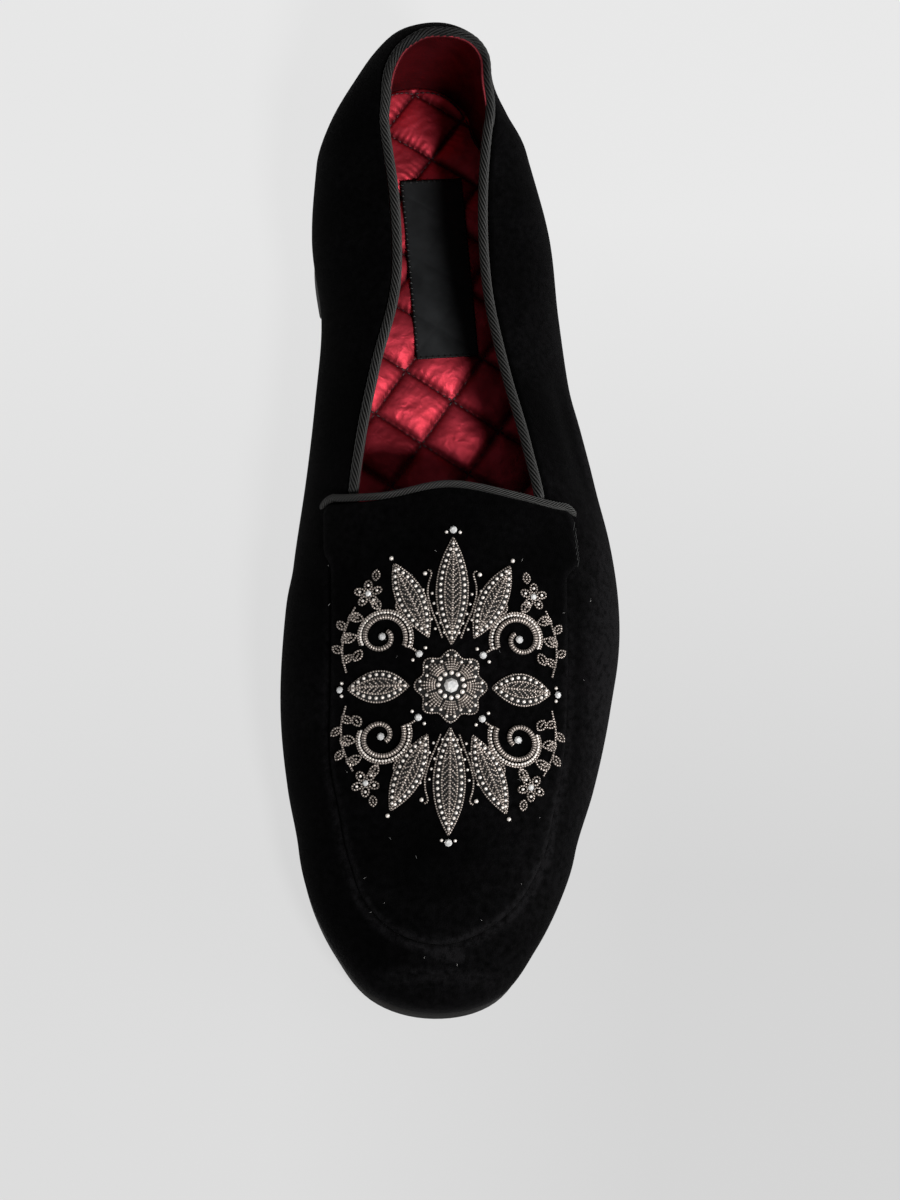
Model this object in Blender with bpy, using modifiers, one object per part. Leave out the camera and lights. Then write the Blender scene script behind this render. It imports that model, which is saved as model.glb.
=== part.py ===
"""A left slipper-loafer in velvet: lasted upper, apron, cords, quilted sock, sole and heel."""
import math

import bmesh
import bpy
import numpy as np
from mathutils import Vector

# Driving dimensions, in metres
LENGTH = 0.295
BALL_WIDTH = 0.098
INSTEP = 0.062
HEEL_LIFT = 0.011
TOE_SPRING = 0.007
SOLE = 0.0045
WALL = 0.0022
FEATHER = 0.0035
SOCK = 0.0035
SOCK_CROWN = 0.0010
APRON = 0.0014
COLLAR_CORD = 0.0030
THROAT_CORD = 0.0023
GAP = 0.0003
LIFT = 0.0006

# Stations from the heel's back along the foot, as shares of the length
HEEL_TURN = 0.122
BREAST = 0.250
SHANK = (0.225, 0.560)
TREAD = 0.715
THROAT = 0.5148
TOE_TURN = 0.837

# Where the sections fan round the heel and the toe, the fan has this radius
HEEL_RADIUS = 0.0350
TOE_RADIUS = 0.0398

# Ears of the apron, label and emblem
EAR_PROUD = {"medial": 0.0012, "lateral": 0.0027}
EAR_LENGTH = 0.0180
EAR_CORNER = 0.0032
LABEL_SIZE = (0.0186, 0.0580)
LABEL_STATION = 0.218
LABEL_TURN = 5.0
EMBLEM_STATION = 0.705

# The last: a row a section, stations in % of length, widths in % of ball width, heights in % of instep
LAST_COLUMNS = (
    "name", "station", "fan", "swing", "lean", "medial", "lateral", "belly", "crown", "fullness",
)
LAST_ROWS = (
    ("heel_back", 12.2, 90, -2.4, 3.4, 36.7, 36.7, 32, 126.1, 3.0),
    ("heel_cap", 12.2, 79, -2.4, 3.4, 36.5, 36.1, 32, 127.2, 2.9),
    ("heel_bend", 12.2, 68, -2.4, 3.4, 35.6, 34.2, 31, 124.6, 3.1),
    ("heel_cheek", 12.2, 57, -2.4, 3.4, 33.9, 31.8, 29, 124.0, 2.85),
    ("heel_turn", 12.2, 45, -2.4, 3.4, 32.2, 27.8, 28, 123.4, 2.4),
    ("heel_sweep", 12.2, 22, -2.4, 3.0, 31.4, 27.3, 26, 110, 2.3),
    ("heel_side", 12.2, 0, -2.4, 2.8, 32.6, 31.4, 24, 102, 2.3),
    ("counter", 20.3, 0, 0.0, 1.3, 36.1, 36.2, 21, 94, 2.3),
    ("waist", 28.8, 0, 1.5, 0.6, 34.4, 37.8, 19, 89, 2.2),
    ("quarter", 37.3, 0, 2.2, 0, 36.6, 41.0, 20, 92, 2.2),
    ("instep", 45.8, 0, 2.9, 0, 39.8, 46.8, 22, 98, 2.2),
    ("throat", 52.1, 0, 3.3, 0, 42.7, 51.4, 23, 100, 2.2),
    ("ball", 61.7, 0, 4.3, 0, 47.3, 53.2, 23, 91, 2.2),
    ("joint", 69.8, 0, 4.3, 0, 47.8, 50.0, 21, 82, 2.25),
    ("box", 77.3, 0, 3.5, 0, 44.6, 45.9, 19, 74, 2.3),
    ("toe_side", 83.7, 0, 2.6, 0, 40.2, 41.2, 16, 66, 2.35),
    ("toe_bend", 83.7, -22, 2.6, 0, 39.6, 39.4, 15, 65, 2.4),
    ("toe_turn", 83.7, -45, 2.6, 0, 42.0, 41.5, 15, 64, 2.4),
    ("toe_round", 83.7, -68, 2.6, 0, 47.6, 47.7, 14, 63, 2.4),
    ("toe_tip", 83.7, -90, 2.6, 0, 49.0, 49.0, 13, 62, 2.4),
)

# The collar's edge and the apron's seam, as half-widths from the spine in % of ball width
EDGE_COLUMNS = ("name", "station", "fan", "medial", "lateral")
COLLAR_ROWS = (
    ("back", 12.2, 90, 27.5, 27.5),
    ("cap", 12.2, 79, 27.4, 27.9),
    ("bend", 12.2, 68, 26.6, 28.3),
    ("cheek", 12.2, 57, 25.6, 26.9),
    ("turn", 12.2, 45, 23.5, 22.6),
    ("sweep", 12.2, 22, 19.4, 19.1),
    ("side", 12.2, 0, 18.1, 17.2),
    ("counter", 20.3, 0, 15.8, 14.7),
    ("waist", 28.8, 0, 16.2, 15.4),
    ("quarter", 37.3, 0, 22.2, 20.2),
    ("instep", 45.8, 0, 27.4, 25.8),
    ("throat", 53.2, 0, 29.8, 29.4),
)
APRON_ROWS = (
    ("throat", 51.4, 0, 34.4, 34.4),
    ("ball", 61.7, 0, 34.4, 34.4),
    ("joint", 69.8, 0, 34.2, 34.8),
    ("box", 77.3, 0, 33.0, 34.4),
    ("toe_side", 83.7, 0, 28.4, 31.6),
    ("toe_bend", 83.7, -22, 27.8, 30.0),
    ("toe_turn", 83.7, -45, 30.2, 30.3),
    ("toe_round", 83.7, -68, 32.4, 31.6),
    ("toe_tip", 83.7, -90, 33.0, 33.0),
)

# The throat's line: distance across from the spine in % of ball width, dip towards the toe in mm
THROAT_COLUMNS = ("name", "reach", "dip")
THROAT_ROWS = (
    ("medial_ear", -40, -3.1),
    ("medial_corner", -30, 1.1),
    ("medial_vamp", -20, 2.8),
    ("ridge", 0, 0.0),
    ("lateral_vamp", 20, 2.2),
    ("lateral_corner", 30, 3.0),
    ("lateral_ear", 40, 2.0),
)

# Colour, roughness and metallic value of each material
FINISHES = {
    "velvet": ((0.004, 0.004, 0.005), 0.95, 0.0),
    "cord": ((0.006, 0.006, 0.007), 0.70, 0.0),
    "satin": ((0.480, 0.030, 0.050), 0.40, 0.0),
    "label": ((0.012, 0.011, 0.012), 0.60, 0.0),
    "sole_leather": ((0.020, 0.017, 0.015), 0.55, 0.0),
    "heel_stack": ((0.016, 0.014, 0.013), 0.55, 0.0),
    "metal_thread": ((0.180, 0.180, 0.190), 0.40, 0.9),
}


def reach(station, fan):
    """Distance of a section round the foot's side, from the middle of the heel's back."""
    turn = math.radians(fan)
    if fan > 0:
        return HEEL_RADIUS * (math.pi / 2 - turn)
    return HEEL_RADIUS * math.pi / 2 + (station - HEEL_TURN) * LENGTH - TOE_RADIUS * turn


def chart(columns, rows):
    """A table's columns as arrays, with the reach of each row."""
    table = {}
    for index, name in enumerate(columns):
        if name != "name":
            table[name] = np.array([row[index] for row in rows], dtype=float)
    if "station" in table:
        stations = table["station"] / 100.0
        table["reach"] = np.array([reach(s, f) for s, f in zip(stations, table["fan"])])
    return table


def smooth(table, name, q):
    """A column's value at reach q, on a smooth curve through the rows."""
    knots = table["reach"]
    values = table[name]
    spans = np.diff(knots)
    rises = np.diff(values) / spans
    slopes = np.empty(len(knots))
    slopes[0] = 0.0
    slopes[-1] = 0.0
    slopes[1:-1] = (spans[1:] * rises[:-1] + spans[:-1] * rises[1:]) / (spans[1:] + spans[:-1])
    q = min(max(q, knots[0]), knots[-1])
    i = min(int(np.searchsorted(knots, q, side="right")) - 1, len(spans) - 1)
    t = (q - knots[i]) / spans[i]
    start = (1 + 2 * t) * (1 - t) ** 2 * values[i] + t * (1 - t) ** 2 * spans[i] * slopes[i]
    end = t * t * (3 - 2 * t) * values[i + 1] + t * t * (t - 1) * spans[i] * slopes[i + 1]
    return start + end


LAST = chart(LAST_COLUMNS, LAST_ROWS)
COLLAR = chart(EDGE_COLUMNS, COLLAR_ROWS)
SEAM = chart(EDGE_COLUMNS, APRON_ROWS)
LINE = chart(THROAT_COLUMNS, THROAT_ROWS)
Q_SIDE = reach(HEEL_TURN, 0)
Q_BREAST = reach(BREAST, 0)
Q_THROAT = reach(THROAT, 0)
Q_TOE = reach(TOE_TURN, 0)
Q_TIP = reach(TOE_TURN, -90)


def flank(side):
    """Name of the column for a side: -1 is medial, 1 is lateral."""
    return "lateral" if side > 0 else "medial"


def spine(q):
    """Point on the floor under the section's middle, and the fan angle of the section."""
    if q < Q_SIDE:
        station = HEEL_TURN * LENGTH
        turn = math.pi / 2 - q / HEEL_RADIUS
    elif q > Q_TOE:
        station = TOE_TURN * LENGTH
        turn = -(q - Q_TOE) / TOE_RADIUS
    else:
        station = HEEL_TURN * LENGTH + q - Q_SIDE
        turn = 0.0
    swing = smooth(LAST, "swing", min(max(q, Q_SIDE), Q_TOE)) * BALL_WIDTH / 100
    return swing, station, turn


def half_width(q, side):
    return smooth(LAST, flank(side), q) * BALL_WIDTH / 100


def plan(q, side, r):
    """Plan point at distance r from the spine: x across to the lateral side, s from the heel."""
    swing, station, turn = spine(q)
    return swing + side * r * math.cos(turn), station - r * math.sin(turn)


def middle():
    """Offset of the plan's middle from the foot's axis."""
    reaches = np.linspace(0, Q_TIP, 400)
    right = max(plan(q, 1, half_width(q, 1))[0] for q in reaches)
    left = min(plan(q, -1, half_width(q, -1))[0] for q in reaches)
    return (right + left) / 2


MIDDLE = middle()


def world(x, s, z):
    """Point in the part's frame: heel towards +Y, lateral side towards +X."""
    return Vector((x - MIDDLE, LENGTH / 2 - s, z))


def seat(s):
    """Height of the sole's upper face: flat heel seat, arch, flat tread and toe spring."""
    share = s / LENGTH
    low = SOLE + GAP
    high = low + HEEL_LIFT + GAP
    t = min(max((share - SHANK[0]) / (SHANK[1] - SHANK[0]), 0.0), 1.0)
    drop = t * t * t * (10 - 15 * t + 6 * t * t)
    spring = max(0.0, (share - TREAD) / (1 - TREAD))
    return high + (low - high) * drop + TOE_SPRING * spring ** 2


def belly(q, side):
    """Height of the widest point of a section."""
    x, s = plan(q, side, half_width(q, side))
    return seat(s) + smooth(LAST, "belly", q) * INSTEP / 100


def arch(q, side, r):
    """Height of the last's top at distance r from the spine."""
    width = half_width(q, side)
    full = smooth(LAST, "fullness", q)
    low = belly(q, side)
    top = smooth(LAST, "crown", min(q, Q_TOE)) * INSTEP / 100
    if q > Q_TOE:
        step = 0.0005
        drop = smooth(LAST, "crown", Q_TOE - step) - smooth(LAST, "crown", Q_TOE)
        fall = drop * INSTEP / 100 / step
        top -= fall * r * math.sin((q - Q_TOE) / TOE_RADIUS)
    share = min(r / width, 1.0)
    return low + (top - low) * (1 - share ** full) ** (1 / full)


def skin(q, side, r):
    """Point of the last's top at distance r from the spine, leaning with its height."""
    low = belly(q, side)
    z = arch(q, side, r)
    rise = (z - low) / (smooth(LAST, "crown", min(q, Q_TOE)) * INSTEP / 100 - low)
    x, s = plan(q, side, r)
    return world(x + rise * smooth(LAST, "lean", q) * BALL_WIDTH / 100, s, z)


def locate(x, s):
    """Reach, side and distance from the spine of a plan point."""
    near = HEEL_TURN * LENGTH
    far = TOE_TURN * LENGTH
    if s < near:
        across = x - spine(0.0)[0]
        turn = math.atan2(near - s, abs(across))
        return (math.pi / 2 - turn) * HEEL_RADIUS, math.copysign(1, across), math.hypot(across, near - s)
    if s > far:
        across = x - spine(Q_TOE)[0]
        turn = math.atan2(s - far, abs(across))
        return Q_TOE + turn * TOE_RADIUS, math.copysign(1, across), math.hypot(across, s - far)
    q = Q_SIDE + s - near
    across = x - spine(q)[0]
    return q, math.copysign(1, across), abs(across)


def top(x, s):
    return arch(*locate(x, s))


def normal(x, s):
    """Outward normal of the last's top at a plan point."""
    step = 0.0002
    slope_x = (top(x + step, s) - top(x - step, s)) / (2 * step)
    slope_s = (top(x, s + step) - top(x, s - step)) / (2 * step)
    return Vector((-slope_x, slope_s, 1.0)).normalized()


def laid(x, s, lift):
    """Point raised off the last's top along its normal."""
    return world(x, s, top(x, s)) + normal(x, s) * lift


def collar_width(q, side):
    return smooth(COLLAR, flank(side), q) * BALL_WIDTH / 100


def seam_width(q, side):
    return smooth(SEAM, flank(side), q) * BALL_WIDTH / 100


def throat(across):
    """Reach of the throat's line at a signed distance across from the spine."""
    return Q_THROAT + smooth(LINE, "dip", across / BALL_WIDTH * 100) / 1000


def corner(side):
    """Reach of the corner where collar and throat meet."""
    return throat(side * collar_width(Q_THROAT, side))


def ear_top(side):
    """Reach of the top of an ear."""
    return throat(side * (seam_width(Q_THROAT, side) + EAR_PROUD[flank(side)] - EAR_CORNER))


def ear_width(q, side):
    """Half-width of the apron with its ear, rounded at the throat's corner."""
    width = seam_width(q, side)
    past = max(q - ear_top(side), 0.0)
    t = min(max((past - EAR_LENGTH + 0.004) / 0.006, 0.0), 1.0)
    width += EAR_PROUD[flank(side)] * (1 - t * t * (3 - 2 * t))
    if past < EAR_CORNER:
        width -= EAR_CORNER - math.sqrt(EAR_CORNER ** 2 - (EAR_CORNER - past) ** 2)
    return width


def wall_point(q, side, share, edge, bend=0.3):
    """Point of the upper's face: share 0 at the feather edge, bend at the widest, 1 at distance edge."""
    width = half_width(q, side)
    if share < bend:
        beta = share / bend * math.pi / 2
        r = width - FEATHER * (1 - math.sin(beta))
        x, s = plan(q, side, width - FEATHER)
        low = seat(s)
        z = low + (belly(q, side) - low) * (1 - math.cos(beta))
    else:
        full = smooth(LAST, "fullness", q)
        end = math.acos(min(edge / width, 1.0) ** (full / 2))
        r = width * math.cos(end * (share - bend) / (1 - bend)) ** (2 / full)
        return skin(q, side, r)
    x, s = plan(q, side, r)
    return world(x, s, z)


for old in list(bpy.data.objects):
    bpy.data.objects.remove(old, do_unlink=True)

shoe = bpy.data.collections.new("velvet_loafer")
bpy.context.scene.collection.children.link(shoe)


def finish(name):
    """Material from the table of finishes."""
    if name in bpy.data.materials:
        return bpy.data.materials[name]
    colour, roughness, metallic = FINISHES[name]
    material = bpy.data.materials.new(name)
    material.use_nodes = True
    shader = material.node_tree.nodes["Principled BSDF"]
    shader.inputs["Base Color"].default_value = (*colour, 1.0)
    shader.inputs["Roughness"].default_value = roughness
    shader.inputs["Metallic"].default_value = metallic
    return material


def add_mesh(name, bm, material):
    """Object from a bmesh, with doubled points welded and faces turned out, or up on an open sheet."""
    bmesh.ops.remove_doubles(bm, verts=bm.verts[:], dist=0.00001)
    bmesh.ops.recalc_face_normals(bm, faces=bm.faces[:])
    is_sheet = any(edge.is_boundary for edge in bm.edges)
    if is_sheet and sum(face.normal.z * face.calc_area() for face in bm.faces) < 0:
        bmesh.ops.reverse_faces(bm, faces=bm.faces[:])
    mesh = bpy.data.meshes.new(name)
    bm.to_mesh(mesh)
    bm.free()
    mesh.shade_smooth()
    mesh.set_sharp_from_angle(angle=math.radians(40))
    piece = bpy.data.objects.new(name, mesh)
    piece.data.materials.append(finish(material))
    shoe.objects.link(piece)
    return piece


def lay_grid(bm, columns, rows, place):
    """Flat grid of cloth whose points are moved to place(u, v), with u and v from 0 to 1."""
    sheet = bmesh.ops.create_grid(bm, x_segments=columns, y_segments=rows, size=1.0)
    for vert in sheet["verts"]:
        vert.co = place((vert.co.x + 1) / 2, (vert.co.y + 1) / 2)


def thicken(piece, thickness, offset):
    """Wall of even thickness: offset -1 grows inward, 1 outward."""
    shell = piece.modifiers.new("wall", "SOLIDIFY")
    shell.thickness = thickness
    shell.offset = offset
    shell.use_even_offset = True
    shell.use_rim = True


def round_edges(piece, width, segments):
    bevel = piece.modifiers.new("edges", "BEVEL")
    bevel.width = width
    bevel.segments = segments
    bevel.limit_method = "ANGLE"
    bevel.angle_limit = math.radians(50)


def add_tube(name, points, diameter, material, resolution=2):
    """Round cord through the points, with closed ends."""
    curve = bpy.data.curves.new(name, "CURVE")
    curve.dimensions = "3D"
    curve.bevel_depth = diameter / 2
    curve.bevel_resolution = resolution
    curve.use_fill_caps = True
    spline = curve.splines.new("POLY")
    spline.points.add(len(points) - 1)
    for knot, point in zip(spline.points, points):
        knot.co = (*point, 1.0)
    piece = bpy.data.objects.new(name, curve)
    piece.data.materials.append(finish(material))
    shoe.objects.link(piece)
    return piece


# Footprint pieces: sock, outsole and heel share the outline of the last


def footprint(name, material, inset, q_end, height, columns, rows):
    """Sheet inside the last's outline, from the heel's back to reach q_end."""
    bm = bmesh.new()

    def place(u, v):
        q = u * q_end
        side = -1 if v < 0.5 else 1
        share = abs(2 * v - 1)
        x, s = plan(q, side, share * (half_width(q, side) - inset))
        return world(x, s, height(s, share))

    lay_grid(bm, columns, rows, place)
    return add_mesh(name, bm, material)


outsole = footprint("outsole", "sole_leather", 0.0015, Q_TIP, lambda s, share: seat(s) - GAP, 48, 4)
thicken(outsole, SOLE, -1)
round_edges(outsole, 0.0008, 1)

heel = footprint("heel", "heel_stack", 0.0022, Q_BREAST, lambda s, share: HEEL_LIFT, 20, 2)
thicken(heel, HEEL_LIFT, -1)
round_edges(heel, 0.0006, 1)


def sock_top(s, share):
    return seat(s) + SOCK + SOCK_CROWN * (1 - share ** 4)


SOCK_INSET = FEATHER + WALL + GAP
insole = footprint("insole", "satin", SOCK_INSET, Q_TIP, sock_top, 48, 6)
thicken(insole, SOCK, -1)

# Upper: quarters up to the collar, vamp up to the ridge, one hollow wall open above and below

WALL_ROWS = 10
RIDGE_ROWS = 6

upper_mesh = bmesh.new()


def quarter_point(u, v):
    side = -1 if u < 0.5 else 1
    q = abs(2 * u - 1) * corner(side)
    return wall_point(q, side, v, collar_width(q, side))


def vamp_point(u, v):
    side = -1 if u < 0.5 else 1
    row = v * (WALL_ROWS + RIDGE_ROWS)
    share = 1 - max(row - WALL_ROWS, 0.0) / RIDGE_ROWS
    start = throat(side * share * collar_width(Q_THROAT, side))
    q = start + (Q_TIP - start) * (1 - abs(2 * u - 1))
    t = min((q - start) / 0.030, 1.0)
    blend = t * t * (3 - 2 * t)
    line = collar_width(corner(side), side) * (1 - blend) + seam_width(q, side) * blend
    if row < WALL_ROWS + 0.5:
        return wall_point(q, side, row / WALL_ROWS, line)
    x, s = plan(q, side, share * line)
    return world(x, s, arch(q, side, share * line))


lay_grid(upper_mesh, 48, WALL_ROWS, quarter_point)
lay_grid(upper_mesh, 44, WALL_ROWS + RIDGE_ROWS, vamp_point)
upper = add_mesh("upper", upper_mesh, "velvet")
thicken(upper, WALL, -1)

# Apron: laid over the vamp from throat to toe, with an ear at each end of the throat

apron_mesh = bmesh.new()


APRON_COLUMNS = 26
CORNER_COLUMNS = 4


def apron_point(u, v):
    side = -1 if u < 0.5 else 1
    column = (1 - abs(2 * u - 1)) * APRON_COLUMNS
    start = throat(side * (1 - v) * ear_width(ear_top(side), side))
    turn = min(column / CORNER_COLUMNS, 1.0) * math.pi / 2
    run = max(column - CORNER_COLUMNS, 0.0) / (APRON_COLUMNS - CORNER_COLUMNS)
    first = start + EAR_CORNER * (1 - math.cos(turn))
    q = first + (Q_TIP - first) * run
    x, s = plan(q, side, (1 - v) * ear_width(q, side))
    return laid(x, s, LIFT)


lay_grid(apron_mesh, 2 * APRON_COLUMNS, 6, apron_point)
apron = add_mesh("apron", apron_mesh, "velvet")
thicken(apron, APRON, 1)

# Cords: one on the collar's rim, one behind the throat's edge and round the ears


def collar_point(q, side):
    """Centre of the collar's cord, on the velvet's part of the rim."""
    step = 0.0004
    edge = collar_width(q, side)
    rim = skin(q, side, edge)
    up = (skin(q, side, edge - step) - rim).normalized()
    along = skin(q + step, side, edge) - skin(max(q - step, 0), side, edge)
    out = up.cross(along).normalized() * side
    return rim - out * WALL * 0.4 + up * (COLLAR_CORD / 2 + GAP)


collar_path = []
for u in np.linspace(-1, 1, 49):
    side = -1 if u < 0 else 1
    collar_path.append(collar_point(abs(u) * (corner(side) - THROAT_CORD - 4 * GAP), side))
add_tube("collar_cord", collar_path, COLLAR_CORD, "cord")

throat_path = []
throat_off = THROAT_CORD / 2 + GAP
throat_lift = THROAT_CORD / 2 + LIFT
heel_offset = HEEL_TURN * LENGTH - Q_SIDE
ear_ends = {}
for side in (-1, 1):
    ear_ends[side] = seam_width(Q_THROAT, side) + EAR_PROUD[flank(side)] - EAR_CORNER
for side in (-1, 1):
    middle_x = spine(Q_THROAT)[0] + side * ear_ends[side]
    middle_s = ear_top(side) + heel_offset + EAR_CORNER
    turn_path = []
    for angle in np.radians(np.linspace(50, 90, 5)):
        across = math.cos(angle) * (EAR_CORNER + throat_off)
        along = math.sin(angle) * (EAR_CORNER + throat_off)
        turn_path.append((middle_x + side * across, middle_s - along))
    if side < 0:
        throat_path += turn_path
        for across in np.linspace(-ear_ends[-1], ear_ends[1], 15)[1:-1]:
            throat_path.append((spine(Q_THROAT)[0] + across, throat(across) + heel_offset - throat_off))
    else:
        throat_path += turn_path[::-1]
throat_points = [laid(x, s, throat_lift) for x, s in throat_path]
add_tube("throat_cord", throat_points, THROAT_CORD, "cord")

# Label: a bare woven tab on the sock, a little askew

label_mesh = bmesh.new()


def label_point(u, v):
    turn = math.radians(LABEL_TURN)
    across = (u - 0.5) * LABEL_SIZE[0]
    along = (v - 0.5) * LABEL_SIZE[1]
    x = 0.0035 + across * math.cos(turn) + along * math.sin(turn)
    s = LABEL_STATION * LENGTH + along * math.cos(turn) - across * math.sin(turn)
    q, side, r = locate(x, s)
    share = r / (half_width(q, side) - SOCK_INSET)
    return world(x, s, sock_top(s, share) + GAP)


lay_grid(label_mesh, 4, 10, label_point)
label = add_mesh("label", label_mesh, "label")
thicken(label, 0.0004, 1)

# Emblem: padded rosette, leaves and scrolls in metal thread, laid on the apron

EMBLEM_BASE = LIFT + APRON + GAP
EMBLEM_X = spine(reach(EMBLEM_STATION, 0))[0]


def emblem_point(a, b, lift):
    """Point of the emblem: a across, b towards the toe, from its middle."""
    return laid(EMBLEM_X + a, EMBLEM_STATION * LENGTH + b, EMBLEM_BASE + lift)


def add_pad(name, segments, rings, outline, height):
    """Low padded form with a flat base: a ball pressed to outline(x, y)."""
    bm = bmesh.new()
    bmesh.ops.create_uvsphere(bm, u_segments=segments, v_segments=rings, radius=1.0)
    for vert in bm.verts:
        a, b = outline(vert.co.x, vert.co.y)
        vert.co = emblem_point(a, b, max(vert.co.z, 0.0) * height)
    return add_mesh(name, bm, "metal_thread")


def petals(x, y):
    lobe = 0.0092 * (1 + 0.10 * math.cos(8 * math.atan2(y, x)))
    return x * lobe, y * lobe


def leaf(start, end, half, turn):
    """Outline of a pointed leaf from start to end along the direction turn."""
    def outline(x, y):
        along = (start + end) / 2 + y * (end - start) / 2
        across = x * half * math.sqrt(max(1 - y * y, 0.0))
        a = along * math.cos(turn) - across * math.sin(turn)
        b = along * math.sin(turn) + across * math.cos(turn)
        return a, b
    return outline


add_pad("emblem_rosette", 24, 5, petals, 0.0022)

# Leaves: direction from the lateral side towards the toe in degrees, start, tip and half-width in mm
LEAF_ROWS = (
    ("toe", 90, 11.6, 41.5, 4.4),
    ("toe_medial", 115, 15.0, 38.0, 3.8),
    ("toe_lateral", 65, 15.0, 38.0, 3.8),
    ("throat", -90, 11.6, 41.5, 4.4),
    ("throat_medial", -115, 15.0, 38.0, 3.8),
    ("throat_lateral", -65, 15.0, 38.0, 3.8),
    ("medial", 180, 11.6, 28.0, 4.4),
    ("lateral", 0, 11.6, 28.0, 4.4),
)
for leaf_name, degrees, start, tip, half in LEAF_ROWS:
    outline = leaf(start / 1000, tip / 1000, half / 1000, math.radians(degrees))
    add_pad("emblem_leaf_" + leaf_name, 10, 6, outline, 0.0016)

SCROLL_WIRE = 0.0018
SCROLL_ROWS = (
    ("toe_medial", -1, 1),
    ("toe_lateral", 1, 1),
    ("throat_medial", -1, -1),
    ("throat_lateral", 1, -1),
)
for scroll_name, i, j in SCROLL_ROWS:
    scroll = []
    for t in np.linspace(0, 1, 18):
        angle = math.radians(205 - 430 * t)
        radius = 0.0066 - 0.0046 * t
        a = i * (0.0190 + radius * math.cos(angle))
        b = j * (0.0140 + radius * math.sin(angle))
        scroll.append(emblem_point(a, b, SCROLL_WIRE / 2))
    add_tube("emblem_scroll_" + scroll_name, scroll, SCROLL_WIRE, "metal_thread", 1)
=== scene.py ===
"""Looks of a left slipper-loafer in black velvet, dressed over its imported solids."""
import math

import bmesh
import bpy
import numpy as np
from mathutils import Matrix, Vector

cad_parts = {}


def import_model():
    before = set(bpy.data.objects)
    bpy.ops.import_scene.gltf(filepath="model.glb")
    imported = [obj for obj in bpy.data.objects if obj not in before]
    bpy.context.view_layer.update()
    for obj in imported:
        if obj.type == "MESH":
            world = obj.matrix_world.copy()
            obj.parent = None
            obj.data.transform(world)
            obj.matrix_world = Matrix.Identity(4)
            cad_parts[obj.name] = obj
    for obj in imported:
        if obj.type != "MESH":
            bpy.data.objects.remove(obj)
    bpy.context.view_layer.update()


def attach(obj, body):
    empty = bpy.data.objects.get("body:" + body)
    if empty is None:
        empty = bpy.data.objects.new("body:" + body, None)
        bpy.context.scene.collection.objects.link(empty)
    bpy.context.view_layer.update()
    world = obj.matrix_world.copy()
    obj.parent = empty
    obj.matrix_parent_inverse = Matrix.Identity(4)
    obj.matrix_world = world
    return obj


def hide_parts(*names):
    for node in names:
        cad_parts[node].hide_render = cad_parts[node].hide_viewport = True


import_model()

# Table: a wide sheet of pale opal board lit from below, matt and without an edge in view, so
# that it throws hardly a shadow. One lamp stands high over the toe and a weaker one low on the
# lateral side, in a dim room.

AXIS_OFFSET = 0.0067998
VIEW_RISE = math.radians(69.0)
VIEW_SIDE = math.radians(4.0)
VIEW_DISTANCE = 1.400
VIEW_AIM = Vector((-AXIS_OFFSET, 0.0, 0.030))
VIEW_LENS = 143.2
VIEW_SHIFT = (0.0166, -0.0718)
# Lamps: direction, distance, width and power
LAMP_ROWS = (
    ("key", (0.27, -0.54, 0.80), 2.0, 0.42, 36.0),
    ("side", (0.95, -0.20, 0.24), 1.6, 1.0, 18.0),
)
ROOM_LIGHT = 0.080
BOARD_HALF = 4.0
BOARD_DROP = 0.0002
BOARD_TONE = (0.06, 0.06, 0.06, 1.0)
BOARD_GLOW = 0.755
# Change of the board's glow along an axis: where it starts, where it ends, and its share at the start
GLOW_FADES = (("X", -0.05, 0.06, 0.6), ("Y", 0.11, -0.10, 0.0))


def wire(tree, node, sockets):
    """Sets a node's sockets: another node's output is linked, any other value is set on the socket."""
    for name, value in sockets.items():
        if isinstance(value, bpy.types.NodeSocket):
            tree.links.new(value, node.inputs[name])
        else:
            node.inputs[name].default_value = value
    return node


def add_node(tree, kind, sockets, **settings):
    node = tree.nodes.new("ShaderNode" + kind)
    for name, value in settings.items():
        setattr(node, name, value)
    return wire(tree, node, sockets)


def math_of(tree, operation, *values):
    return add_node(tree, "Math", dict(enumerate(values)), operation=operation).outputs["Value"]


def own_place(tree):
    """The piece's own coordinates."""
    return add_node(tree, "TexCoord", {}).outputs["Object"]


def shade_between(tree, factor, first, second):
    """Colour from the first, a tone or a node's output, to the second tone, by a factor from 0 to 1."""
    start = first if isinstance(first, bpy.types.NodeSocket) else (*first, 1.0)
    mix = add_node(tree, "Mix", {"Factor": factor, "A": start, "B": (*second, 1.0)}, data_type="RGBA")
    return mix.outputs["Result"]


def start_material(name):
    material = bpy.data.materials.new(name)
    material.use_nodes = True
    return material, material.node_tree


def set_shader(tree, sockets):
    wire(tree, tree.nodes["Principled BSDF"], sockets)


def add_object(name, data):
    made = bpy.data.objects.new(name, data)
    bpy.context.scene.collection.objects.link(made)
    return made


board_mesh = bmesh.new()
bmesh.ops.create_grid(board_mesh, x_segments=1, y_segments=1, size=BOARD_HALF)
bmesh.ops.translate(board_mesh, verts=board_mesh.verts[:], vec=(0.0, 0.0, -BOARD_DROP))
board_data = bpy.data.meshes.new("board")
board_mesh.to_mesh(board_data)
board_mesh.free()
board_finish, tree = start_material("opal_board")
board_axes = add_node(tree, "SeparateXYZ", {"Vector": own_place(tree)}).outputs
fades = []
for axis, start, end, low in GLOW_FADES:
    ramp = {"Value": board_axes[axis], "From Min": start, "From Max": end, "To Min": low}
    fades.append(add_node(tree, "MapRange", ramp).outputs["Result"])
glow = shade_between(tree, math_of(tree, "MULTIPLY", *fades), (1.0, 1.0, 1.0), (0.79, 0.79, 0.79))
set_shader(tree, {
    "Base Color": BOARD_TONE, "Roughness": 0.9, "Specular IOR Level": 0.1,
    "Emission Color": glow, "Emission Strength": BOARD_GLOW,
})
board_data.materials.append(board_finish)
board = add_object("board", board_data)

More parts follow.
